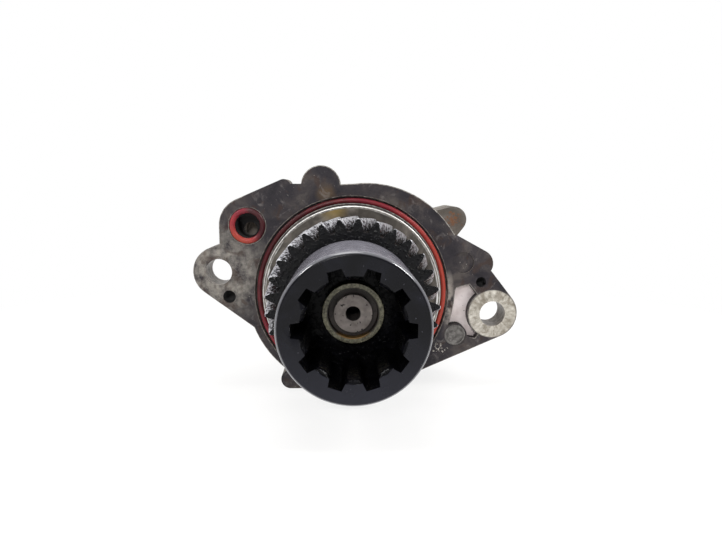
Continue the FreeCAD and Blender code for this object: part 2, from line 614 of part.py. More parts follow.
def make_cover():
    """Rear cover: closes the chamber, holds the rear bushing and the vacuum union."""
    front, back = COVER_FRONT, COVER_BACK
    solids = [
        cylinder("cover_disc", BARREL_RADIUS, front, back, z=CHAMBER_Z),
        cylinder("bush_boss", "bush_boss_radius", front, f"{back} + bush_boss_height"),
        arm("cover_union_boss", ("union_x", "union_z", "union_boss"),
            ("0", "0", "bush_boss_radius"), front, f"{back} + bush_boss_height / 2"),
        cylinder("cover_union_tower", "union_boss", front, UNION_FACE, "union_x", "union_z"),
        arm("cover_foot", ("-foot_pad_half", FOOT_Z, "foot_corner"), ("foot_pad_half", FOOT_Z, "foot_corner"),
            front, back),
        arm("cover_leg_left", ("-foot_pad_half", FOOT_Z, "foot_corner"), ("0", CHAMBER_Z, CHAMBER_RADIUS),
            front, back),
        arm("cover_leg_right", ("foot_pad_half", FOOT_Z, "foot_corner"), ("0", CHAMBER_Z, CHAMBER_RADIUS),
            front, back),
    ]
    for index, (x, z) in enumerate(bolt_places()):
        solids.append(arm(f"cover_boss_{index + 1}", (x, z, "bolt_boss_radius"),
                          ("0", CHAMBER_Z, CHAMBER_RADIUS), front, back))
    casting = fuse("cover_casting", solids)
    tools = [
        cylinder("bush_bore", "journal_radius + bush_wall", f"{front} - 1", f"{front} + journal_length + 1"),
        turned("seal_groove", [
            (f"{SEAL_RADIUS} - seal_section / 2", f"{front} - 1"),
            (f"{SEAL_RADIUS} + seal_section / 2", f"{front} - 1"),
            (f"{SEAL_RADIUS} + seal_section / 2", f"{front} + seal_section"),
            (f"{SEAL_RADIUS} - seal_section / 2", f"{front} + seal_section"),
        ], z=CHAMBER_Z),
        cylinder("inlet_port", "inlet_radius", f"{front} - 1", f"{back} + 1", "union_x", "union_z"),
        cylinder("union_seat", "union_thread", UNION_FRONT, f"{UNION_FACE} + 1", "union_x", "union_z"),
    ]
    for index, (x, z) in enumerate(bolt_places()):
        tools.append(cylinder(f"bolt_hole_{index + 1}", "bolt_radius + clearance", f"{front} - 1",
                              f"{back} + 1", x, z))
    for index, (x, z) in enumerate(dowel_places()):
        tools.append(cylinder(f"dowel_seat_{index + 1}", "dowel_radius", f"{front} - 1",
                              f"{front} + dowel_length / 2", x, z))
    node("rear_cover", cut("rear_cover", casting, tools))
    node("cover_seal", torus("cover_seal", SEAL_RADIUS, "seal_section", f"{front} + seal_section / 2",
                             z=CHAMBER_Z))
    node("rear_bushing", turned("rear_bushing", [
        ("journal_radius + running_fit", front),
        ("journal_radius + bush_wall", front),
        ("journal_radius + bush_wall", f"{front} + journal_length"),
        ("journal_radius + running_fit", f"{front} + journal_length"),
    ]))


def hex_prism(name, flat, front, back, x="0", z="0"):
    """Make a hexagon head along Y; flat is half its width across the flats."""
    item = document.addObject("Part::Prism", name)
    item.Polygon = 6
    item.Placement = FreeCAD.Placement(Vector(), ALONG_Y)
    return bind(item, Circumradius=f"({flat}) / cos(30deg)", Height=f"({back}) - ({front})",
                Placement__Base__x=x, Placement__Base__y=front, Placement__Base__z=z)


def make_bolts():
    """Five flanged hexagon bolts hold the cover; two hollow dowels place it."""
    bolts = []
    head = f"({COVER_BACK} + bolt_washer_height)"
    for index, (x, z) in enumerate(bolt_places()):
        bolts.append(fuse(f"cover_bolt_{index + 1}", [
            cylinder(f"shank_{index + 1}", "bolt_radius", f"{COVER_FRONT} - bolt_reach", COVER_BACK, x, z),
            cylinder(f"washer_face_{index + 1}", "bolt_washer", COVER_BACK, head, x, z),
            hex_prism(f"head_{index + 1}", "bolt_head", head, f"{head} + bolt_head_height", x, z),
        ]))
    group = document.addObject("Part::Compound", "cover_bolts")
    group.Links = bolts
    node("cover_bolts", group)
    sleeves = [turned(f"dowel_{index + 1}", [
        ("bolt_radius + clearance", f"{COVER_FRONT} - dowel_length / 2"),
        ("dowel_radius", f"{COVER_FRONT} - dowel_length / 2"),
        ("dowel_radius", f"{COVER_FRONT} + dowel_length / 2"),
        ("bolt_radius + clearance", f"{COVER_FRONT} + dowel_length / 2"),
    ], x, z) for index, (x, z) in enumerate(dowel_places())]
    group = document.addObject("Part::Compound", "cover_dowels")
    group.Links = sleeves
    node("cover_dowels", group)


def make_ball_bearing():
    """Deep-groove ball bearing: two rings with raceways, balls, and a cage that spaces them."""
    race = torus("outer_race", "ball_circle", "2 * (ball_radius + ball_play)", BEARING_MIDDLE)
    outer = turned("outer_ring_blank", [
        ("ball_circle + race_land", "bearing_front"),
        ("bearing_outer", "bearing_front"),
        ("bearing_outer", BEARING_BACK),
        ("ball_circle + race_land", BEARING_BACK),
    ])
    node("bearing_outer_ring", cut("bearing_outer_ring", outer, [race]))
    race = torus("inner_race", "ball_circle", "2 * (ball_radius + ball_play)", BEARING_MIDDLE)
    inner = turned("inner_ring_blank", [
        ("bearing_bore", "bearing_front"),
        ("ball_circle - race_land", "bearing_front"),
        ("ball_circle - race_land", BEARING_BACK),
        ("bearing_bore", BEARING_BACK),
    ])
    node("bearing_inner_ring", cut("bearing_inner_ring", inner, [race]))
    balls, pockets = [], []
    for index in range(int(size("ball_count"))):
        turn = index * 360 / size("ball_count")
        ball = document.addObject("Part::Sphere", f"ball_{index + 1}")
        bind(ball, Radius="ball_radius", Placement__Base__x=f"ball_circle * cos({turn}deg)",
             Placement__Base__y=BEARING_MIDDLE, Placement__Base__z=f"ball_circle * sin({turn}deg)")
        balls.append(ball)
        pocket = document.addObject("Part::Cylinder", f"pocket_{index + 1}")
        outwards = FreeCAD.Rotation(Vector(0, 1, 0), 90 - turn)
        pocket.Placement = FreeCAD.Placement(Vector(), outwards)
        bind(pocket, Radius="ball_radius + ball_play", Height="ball_circle + cage_half + 1",
             Placement__Base__y=BEARING_MIDDLE)
        pockets.append(pocket)
    group = document.addObject("Part::Compound", "bearing_balls")
    group.Links = balls
    node("bearing_balls", group)
    cage = turned("cage_blank", [
        ("ball_circle - cage_half", f"{BEARING_MIDDLE} - ball_radius - 0.6"),
        ("ball_circle + cage_half", f"{BEARING_MIDDLE} - ball_radius - 0.6"),
        ("ball_circle + cage_half", f"{BEARING_MIDDLE} + ball_radius + 0.6"),
        ("ball_circle - cage_half", f"{BEARING_MIDDLE} + ball_radius + 0.6"),
    ])
    node("bearing_cage", cut("bearing_cage", cage, pockets))
    clip = turned("circlip_ring", [
        ("bearing_outer + circlip_depth - circlip_width", "bearing_front - circlip_thickness"),
        ("bearing_outer + circlip_depth", "bearing_front - circlip_thickness"),
        ("bearing_outer + circlip_depth", "bearing_front"),
        ("bearing_outer + circlip_depth - circlip_width", "bearing_front"),
    ])
    gap = document.addObject("Part::Cylinder", "circlip_gap_tool")
    gap.Placement = FreeCAD.Placement(Vector(), ALONG_Y)
    bind(gap, Radius="bearing_outer + 3", Height="circlip_thickness + 2", Angle="circlip_gap",
         Placement__Base__y="bearing_front - circlip_thickness - 1")
    node("bearing_circlip", cut("bearing_circlip", clip, [gap]))


def make_shaft():
    """Drive shaft: threaded nose, hub and bearing seat, shoulder, and the spigot that drives the rotor."""
    blank = turned("shaft_blank", [
        ("0", "shaft_front + centre_hole_depth"),
        ("centre_hole_radius", "shaft_front + centre_hole_depth - centre_hole_radius"),
        ("centre_hole_radius", "shaft_front"),
        ("end_radius", "shaft_front"),
        ("end_radius", "shaft_front + end_length"),
        ("thread_radius", "shaft_front + end_length"),
        ("thread_radius", "web_front"),
        ("shaft_radius", "web_front"),
        ("shaft_radius", BEARING_BACK),
        ("shoulder_radius", BEARING_BACK),
        ("shoulder_radius", "chamber_front"),
        ("drive_spigot_radius", "chamber_front"),
        ("drive_spigot_radius", "chamber_front + drive_spigot_length"),
        ("0", "chamber_front + drive_spigot_length"),
    ])
    node("drive_shaft", cut("drive_shaft", blank, [hub_key("shaft_keyway"), rotor_key("shaft_slot")]))
    node("hub_key", hub_key("hub_key"))
    node("rotor_key", rotor_key("rotor_key"))
    node("locking_collar", turned("locking_collar", [
        ("thread_radius + collar_play", "shaft_front"),
        ("collar_radius", "shaft_front"),
        ("collar_radius", "web_front"),
        ("thread_radius + collar_play", "web_front"),
    ]))


def hub_key(name):
    """Parallel key between shaft and hub, on top of the shaft."""
    middle = "((web_front + web_back) / 2 + 3)"
    return box(name, ("-key_width / 2", "key_width / 2"),
               (f"{middle} - key_length / 2", f"{middle} + key_length / 2"),
               ("shaft_radius - key_sink", "shaft_radius + key_rise"))


def rotor_key(name):
    """Small key between the drive spigot and the rotor, between two vane slots."""
    return box(name, ("-rotor_key_width / 2", "rotor_key_width / 2"),
               ("chamber_front + 1", "chamber_front + drive_spigot_length - 1"),
               ("drive_spigot_radius - 2", "drive_spigot_radius + rotor_key_height"))


def make_hub():
    """Hub: a turned steel body with a splined socket, a web on the shaft and a recessed back."""
    body = turned("hub_body", [
        ("shaft_radius", "bearing_front"),
        ("hub_boss_radius", "bearing_front"),
        ("hub_boss_radius", "web_back"),
        ("hub_back_bore", "web_back"),
        ("hub_back_bore", GEAR_BACK),
        ("hub_radius", GEAR_BACK),
        ("hub_radius", "hub_front + hub_chamfer"),
        ("hub_radius - hub_chamfer", "hub_front"),
        ("socket_minor + socket_lead", "hub_front"),
        ("socket_minor", "hub_front + socket_lead"),
        ("socket_minor", "hub_front + spline_length"),
        ("socket_root", "hub_front + spline_length"),
        ("socket_root", "web_front"),
        ("shaft_radius", "web_front"),
    ])
    inner = "(socket_minor - 2)"
    notch = polygon_sketch(body, "notch_profile", "XZ_Plane", [
        ("-notch_mouth / 2", inner),
        ("notch_mouth / 2", inner),
        ("notch_mouth / 2", "socket_minor"),
        ("notch_width / 2", "socket_root"),
        ("-notch_width / 2", "socket_root"),
        ("-notch_mouth / 2", "socket_minor"),
    ])
    pocket = body.newObject("PartDesign::Pocket", "notch")
    pocket.Profile = notch
    pocket.Type = 0
    bind(notch, AttachmentOffset__Base__z="-(hub_front - 1)")
    bind(pocket, Length="spline_length + 1")
    patterned(body, "notches", pocket, "spline_count")
    turn_half = FreeCAD.Rotation(Vector(0, 1, 0), 180 / size("spline_count"))
    body.Placement = FreeCAD.Placement(Vector(), turn_half)
    node("spline_hub", cut("spline_hub", body, [hub_key("hub_keyway")]))


def involute(base_radius, radius):
    """Give the polar angle that an involute has reached at a radius."""
    roll = math.sqrt(max(radius * radius / (base_radius * base_radius) - 1, 0))
    return roll - math.atan(roll)


def gear_section(y, turn):
    """Draw the closed outline of the gear in the plane at y, turned by an angle."""
    teeth = int(size("gear_teeth"))
    helix = math.radians(size("helix_angle"))
    pressure = math.radians(size("pressure_angle"))
    module = size("gear_module")
    pitch_radius = teeth * module / math.cos(helix) / 2
    base_radius = pitch_radius * math.cos(pressure)
    tip_radius = pitch_radius + size("addendum") * module
    root_radius = pitch_radius - size("dedendum") * module
    start_radius = max(base_radius, root_radius) + size("root_rise")
    half_tooth = math.pi / 2 / teeth - size("tooth_thinning") / pitch_radius
    half_base = half_tooth + involute(base_radius, pitch_radius)

    def spot(radius, angle):
        return Vector(radius * math.sin(angle + turn), y, radius * math.cos(angle + turn))

    edges = []
    pitch = 2 * math.pi / teeth
    flank_radii = [start_radius + (tip_radius - start_radius) * step / 3 for step in range(4)]
    half_root = half_base - involute(base_radius, start_radius) + size("root_run") / root_radius
    for tooth in range(teeth):
        middle = tooth * pitch
        rising = [spot(r, middle - half_base + involute(base_radius, r)) for r in flank_radii]
        falling = [spot(r, middle + half_base - involute(base_radius, r)) for r in reversed(flank_radii)]
        root_in = spot(root_radius, middle - half_root)
        root_out = spot(root_radius, middle + half_root)
        next_root = spot(root_radius, middle + pitch - half_root)
        up, down = Part.BSplineCurve(), Part.BSplineCurve()
        up.interpolate(rising)
        down.interpolate(falling)
        edges.append(Part.LineSegment(root_in, rising[0]).toShape())
        edges.append(up.toShape())
        edges.append(Part.Arc(rising[-1], spot(tip_radius, middle), falling[0]).toShape())
        edges.append(down.toShape())
        edges.append(Part.LineSegment(falling[-1], root_out).toShape())
        edges.append(Part.Arc(root_out, spot(root_radius, middle + pitch / 2), next_root).toShape())
    return Part.Wire(edges)


def make_gear():
    """Helical timing gear, lofted through turned sections; its bore is a press seat on the hub."""
    front, width = size("gear_front"), size("gear_width")
    helix = math.radians(size("helix_angle"))
    pitch_radius = size("gear_teeth") * size("gear_module") / math.cos(helix) / 2
    whole_turn = width * math.tan(helix) / pitch_radius
    first_turn = math.radians(size("gear_turn"))
    sections = []
    for share in (0.0, 0.5, 1.0):
        sections.append(gear_section(front + share * width, first_turn + share * whole_turn))
    blank = document.addObject("Part::Feature", "gear_blank")
    blank.Shape = Part.makeLoft(sections, True, False)
    outside = turned("gear_envelope", [
        ("0", "gear_front"),
        (f"{GEAR_TIP} - tip_chamfer", "gear_front"),
        (f"{GEAR_TIP} + 0.01", "gear_front + tip_chamfer"),
        (f"{GEAR_TIP} + 0.01", f"{GEAR_BACK} - tip_chamfer"),
        (f"{GEAR_TIP} - tip_chamfer", GEAR_BACK),
        ("0", GEAR_BACK),
    ])
    trimmed = document.addObject("Part::MultiCommon", "gear_trimmed")
    trimmed.Shapes = [blank, outside]
    bore = cylinder("gear_bore", "hub_radius", "gear_front - 1", f"{GEAR_BACK} + 1")
    node("driven_gear", cut("driven_gear", trimmed, [bore]))


def vane_blank(name, thickness, inner, outer, front, back, angle):
    """Make a flat blade that stands on the radius at an angle from straight down."""
    blade = box(name, (f"-({thickness}) / 2", f"({thickness}) / 2"), (front, back),
                (f"-({outer})", f"-({inner})"))
    holder = document.addObject("Part::Compound", name + "_turned")
    holder.Links = [blade]
    holder.Placement = FreeCAD.Placement(Vector(), FreeCAD.Rotation(Vector(0, 1, 0), angle))
    return holder


def make_rotor():
    """Slotted rotor on the drive spigot, with its rear journal, and three sliding vanes."""
    front = "(chamber_front + side_play)"
    back = f"({COVER_FRONT} - side_play)"
    blank = turned("rotor_blank", [
        ("drive_spigot_radius", front),
        ("rotor_radius", front),
        ("rotor_radius", back),
        ("journal_radius", back),
        ("journal_radius", f"{COVER_FRONT} + journal_length"),
        ("0", f"{COVER_FRONT} + journal_length"),
        ("0", "chamber_front + drive_spigot_length"),
        ("drive_spigot_radius", "chamber_front + drive_spigot_length"),
    ])
    tools = [rotor_key("rotor_keyway")]
    for index, angle in enumerate((0, 120, 240)):
        tools.append(vane_blank(f"slot_{index + 1}", "vane_thickness + 2 * slot_play", SLOT_FLOOR,
                                "rotor_radius + 1", "chamber_front - 1", f"{COVER_FRONT} + 0.5", angle))
        blade = vane_blank(f"vane_blade_{index + 1}", "vane_thickness", "rotor_radius - vane_height",
                           "rotor_radius - side_play", front, back, angle)
        rim = cylinder(f"vane_rim_{index + 1}", "rotor_radius - side_play", front, back)
        vane = document.addObject("Part::MultiCommon", f"vane_{index + 1}")
        vane.Shapes = [blade, rim]
        node(f"vane_{index + 1}", vane)
    node("rotor", cut("rotor", blank, tools))


def make_union():
    """Vacuum union screwed into the cover, with the check valve in its inner end."""
    at = ("union_x", "union_z")
    barb = "(nipple_length - 3) / 3"
    profile = [
        ("valve_bore", UNION_FRONT),
        ("union_thread", UNION_FRONT),
        ("union_thread", HEX_FRONT),
        ("union_collar", HEX_FRONT),
        ("union_collar", f"{HEX_FRONT} + 1.5"),
        ("nipple_radius", f"{HEX_FRONT} + 1.5"),
        ("nipple_radius", f"{HEX_BACK} + 3"),
    ]
    for step in range(3):
        start = f"{HEX_BACK} + 3 + {step} * {barb}"
        profile.append(("nipple_radius + barb_height", start))
        profile.append(("nipple_radius", f"{start} + {barb} - 1"))
        profile.append(("nipple_radius", f"{start} + {barb}"))
    profile.append(("nipple_bore", f"{HEX_BACK} + nipple_length"))
    profile.append(("nipple_bore", VALVE_SEAT))
    profile.append(("valve_bore", VALVE_SEAT))
    tube = turned("union_tube", profile, *at)
    head = cut("union_hexagon", hex_prism("union_hex_blank", "union_hex", f"{HEX_FRONT} + 1", HEX_BACK, *at),
               [cylinder("union_hex_bore", "nipple_bore", HEX_FRONT, f"{HEX_BACK} + 1", *at)])
    node("vacuum_union", fuse("vacuum_union", [tube, head]))
    node("union_seal", turned("union_seal", [
        ("union_thread", UNION_FACE),
        ("union_collar", UNION_FACE),
        ("union_collar", HEX_FRONT),
        ("union_thread", HEX_FRONT),
    ], *at))
    node("valve_poppet", turned("valve_poppet", [
        ("0", f"{VALVE_SEAT} - 0.05"),
        ("0", f"{VALVE_SEAT} - poppet_thickness - poppet_stem_length"),
        ("poppet_stem", f"{VALVE_SEAT} - poppet_thickness - poppet_stem_length"),
        ("poppet_stem", f"{VALVE_SEAT} - poppet_thickness"),
        ("poppet_radius", f"{VALVE_SEAT} - poppet_thickness"),
        ("poppet_radius", f"{VALVE_SEAT} - 0.05"),
    ], *at))
    node("valve_retainer", turned("valve_retainer", [
        ("retainer_bore", UNION_FRONT),
        ("valve_bore", UNION_FRONT),
        ("valve_bore", f"{UNION_FRONT} + retainer_thickness"),
        ("retainer_bore", f"{UNION_FRONT} + retainer_thickness"),
    ], *at))
    make_spring()


def make_spring():
    """Coil spring between the retainer and the poppet, lofted through octagons along its wire."""
    start = amount(f"{UNION_FRONT} + retainer_thickness + spring_wire + 0.05")
    height = amount(f"{VALVE_SEAT} - poppet_thickness - spring_wire - 0.1") - start
    radius, wire, turns = size("spring_radius"), size("spring_wire"), size("spring_turns")
    steps = round(turns * 16)
    sections = []
    for step in range(steps + 1):
        angle = 2 * math.pi * turns * step / steps
        outwards = Vector(math.cos(angle), math.sin(angle), 0)
        along = Vector(-outwards.y, outwards.x, height / (2 * math.pi * turns * radius)).normalize()
        across = along.cross(outwards)
        middle = outwards * radius + Vector(0, 0, height * step / steps)
        corners = []
        for corner in range(8):
            swing = corner * math.pi / 4
            corners.append(middle + outwards * (wire * math.cos(swing)) + across * (wire * math.sin(swing)))
        sections.append(Part.makePolygon(corners + [corners[0]]))
    spring = document.addObject("Part::Feature", "valve_spring")
    spring.Shape = Part.makeLoft(sections, True, True)
    spring.Placement = FreeCAD.Placement(Vector(size("union_x"), start, size("union_z")), ALONG_Y)
    node("valve_spring", spring)


def make_outlet_valve():
    """Reed over the outlet port, its clamped tail, the stop above it and the screw."""
    low = "(reed_z - reed_width / 2)"
    high = "(reed_z + reed_width / 2)"
    node("outlet_reed", box("outlet_reed", ("-reed_half", "reed_hinge"), (REED_FRONT, REED_BACK),
                            (low, high)))
    tail = box("reed_tail_blank", ("reed_hinge + 0.1", "reed_half"), (REED_FRONT, REED_BACK), (low, high))
    hole = cylinder("reed_tail_hole", "screw_radius", f"{REED_FRONT} - 1", f"{REED_BACK} + 1",
                    "reed_screw_x", "reed_z")
    node("reed_tail", cut("reed_tail", tail, [hole]))
    body = document.addObject("PartDesign::Body", "stop_body")
    outline = polygon_sketch(body, "stop_profile", "XY_Plane", [
        ("reed_half", REED_FRONT),
        ("reed_hinge + 0.1", REED_FRONT),
        ("outlet_x", f"{REED_FRONT} - stop_lift"),
        ("-reed_half", f"{REED_FRONT} - stop_lift"),
        ("-reed_half", f"{REED_FRONT} - stop_lift - stop_thickness"),
        ("outlet_x", f"{REED_FRONT} - stop_lift - stop_thickness"),
        ("reed_hinge + 0.1", f"{REED_FRONT} - stop_thickness"),
        ("reed_half", f"{REED_FRONT} - stop_thickness"),
    ])
    pad = body.newObject("PartDesign::Pad", "stop_pad")
    pad.Profile = outline
    bind(outline, AttachmentOffset__Base__z=low)
    bind(pad, Length="reed_width")
    hole = cylinder("stop_hole", "screw_radius", "0", "recess_floor", "reed_screw_x", "reed_z")
    node("reed_stop", cut("reed_stop", body, [hole]))
    top = f"({REED_FRONT} - stop_thickness)"
    node("reed_screw", fuse("reed_screw", [
        cylinder("reed_screw_shank", "screw_radius", top, "recess_floor + 5", "reed_screw_x", "reed_z"),
        cylinder("reed_screw_head", "screw_head", f"{top} - 1.6", top, "reed_screw_x", "reed_z"),
    ]))


make_housing()
make_seals_and_plug()
make_cover()
make_bolts()
make_ball_bearing()
make_shaft()
make_hub()
make_gear()
make_rotor()
make_union()
make_outlet_valve()
document.recompute()

for item in document.Objects:
    if "Invalid" in item.State or "Error" in item.State:
        raise RuntimeError(f"{item.Label} failed: {item.State}")
os.makedirs("parts", exist_ok=True)
for item in NODES:
    if item.Shape.isNull() or not item.Shape.isValid():
        raise RuntimeError(f"{item.Label} has no valid shape")
    item.Shape.exportStep(f"parts/{item.Label}.step")
    print(item.Label, len(item.Shape.Solids), round(item.Shape.Volume, 1))
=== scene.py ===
# Used, oily vacuum pump on a white floor. Metres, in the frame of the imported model.
import math
import json

import bmesh
import bpy
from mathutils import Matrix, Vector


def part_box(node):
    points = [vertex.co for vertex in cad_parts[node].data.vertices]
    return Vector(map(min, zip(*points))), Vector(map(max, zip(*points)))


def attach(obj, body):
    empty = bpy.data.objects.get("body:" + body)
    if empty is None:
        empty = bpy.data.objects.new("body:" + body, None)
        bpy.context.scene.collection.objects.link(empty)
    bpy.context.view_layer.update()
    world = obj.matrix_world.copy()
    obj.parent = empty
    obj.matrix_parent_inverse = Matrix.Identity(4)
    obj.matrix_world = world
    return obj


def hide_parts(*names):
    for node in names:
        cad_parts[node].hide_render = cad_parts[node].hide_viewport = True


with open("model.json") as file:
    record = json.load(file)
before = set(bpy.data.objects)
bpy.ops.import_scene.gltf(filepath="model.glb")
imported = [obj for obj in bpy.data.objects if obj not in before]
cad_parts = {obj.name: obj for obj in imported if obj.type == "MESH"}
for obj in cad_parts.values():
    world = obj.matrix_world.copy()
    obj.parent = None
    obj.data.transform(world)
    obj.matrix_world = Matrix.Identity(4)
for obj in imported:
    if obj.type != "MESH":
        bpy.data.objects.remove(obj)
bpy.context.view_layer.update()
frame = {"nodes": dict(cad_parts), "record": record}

MM = 0.001

# Places that the stains, the wear and the painted shade follow, as x, y, z
SHAFT_AXIS = (0.0, 0.0, 0.0)
LEFT_LUG = (-56.1 * MM, 0.0, 9.1 * MM)
RIGHT_LUG = (60.7 * MM, 0.0, -9.1 * MM)
UNDER_TOP_LUG = (-11.0 * MM, 0.0, 42.0 * MM)
GOLDEN_STAIN = (-7.5 * MM, 0.0, 35.5 * MM)
OIL_PORT = (-43.7 * MM, 0.0, 28.6 * MM)
LEFT_PIN = (-52.0 * MM, 0.0, -1.5 * MM)
RIGHT_PIN = (55.3 * MM, 0.0, 4.8 * MM)
BESIDE_RING = (41.2 * MM, 0.0, -3.0 * MM)
BESIDE_PLUG = (38.0 * MM, 0.0, -24.5 * MM)
REAR_EAR = (50.9 * MM, 0.0, 29.0 * MM)

# Radii of the surfaces that are told apart
SHAFT_END_RADIUS = 6.8 * MM
CENTRE_HOLE = 2.7 * MM
COLLAR_GROOVE = 9.3 * MM
HUB_RADIUS = 25.25 * MM
SOCKET_ROOT = 20.1 * MM
RECESS_RADIUS = 32.5 * MM
SPIGOT_RADIUS = 37.4 * MM
RING_CLEARANCE = 40.0 * MM
LUG_BORE = 5.5 * MM
LUG_FACE = 10.6 * MM

# Their depths along the shaft, the sides of the pocket, and what counts as on a surface
HUB_FRONT = -62.1 * MM
SPIGOT_FRONT = -4.4 * MM
POCKET_DEPTH = 4.0 * MM
RECESS_FLOOR = 5.0 * MM
FLANGE_BACK = 12.0 * MM
POCKET_LEFT, POCKET_RIGHT = 40 * MM, 56 * MM
POCKET_LOW, POCKET_HIGH = -24 * MM, 6 * MM
NEAR = 0.1 * MM

# Factors that drop the depth from a place, and leave its x and z
FLANGE_PLANE = (1.0, 0.0, 1.0)

# Sockets of a Mix node for colours: share, the colour under and over, and the blend
SHARE, UNDER, OVER, BLEND = 0, 6, 7, 2

# How far a face looks along the shaft: flat across it, nearly so, and at its side
LEVEL, NEARLY_LEVEL, UPRIGHT = 0.9, 0.8, 0.5

# How points, faces and edges are told apart when a piece is rounded
SAME_POINT = 0.002 * MM
SAME_PLANE = math.radians(0.5)
SHARP_EDGE = math.radians(32)
SMOOTH_EDGE = math.radians(50)


# Small helpers

def linear(hex_colour):
    """Turn an sRGB hex value into the linear colour that shaders take."""
    channels = [int(hex_colour[start:start + 2], 16) / 255 for start in (1, 3, 5)]
    return [c / 12.92 if c <= 0.04045 else ((c + 0.055) / 1.055) ** 2.4 for c in channels] + [1.0]


def node(owner, kind, sockets=None, output=0, stops=(), **settings):
    """Add a shader node with its settings, links and colour stops, and give one of its outputs."""
    item = owner.node_tree.nodes.new("ShaderNode" + kind)
    for name, value in settings.items():
        setattr(item, name, value)
    for key, value in (sockets or {}).items():
        if isinstance(value, bpy.types.NodeSocket):
            owner.node_tree.links.new(value, item.inputs[key])
        else:
            item.inputs[key].default_value = value
    for index, (position, colour) in enumerate(stops):
        bands = item.color_ramp.elements
        band = bands[index] if index < 2 else bands.new(position)
        band.position = position
        band.color = linear(colour)
    return item.outputs[output] if len(item.outputs) else item


def blank_material(name):
    """Start a material with an empty node tree."""
    material = bpy.data.materials.new(name)
    material.use_nodes = True
    material.node_tree.nodes.clear()
    return material


# Materials

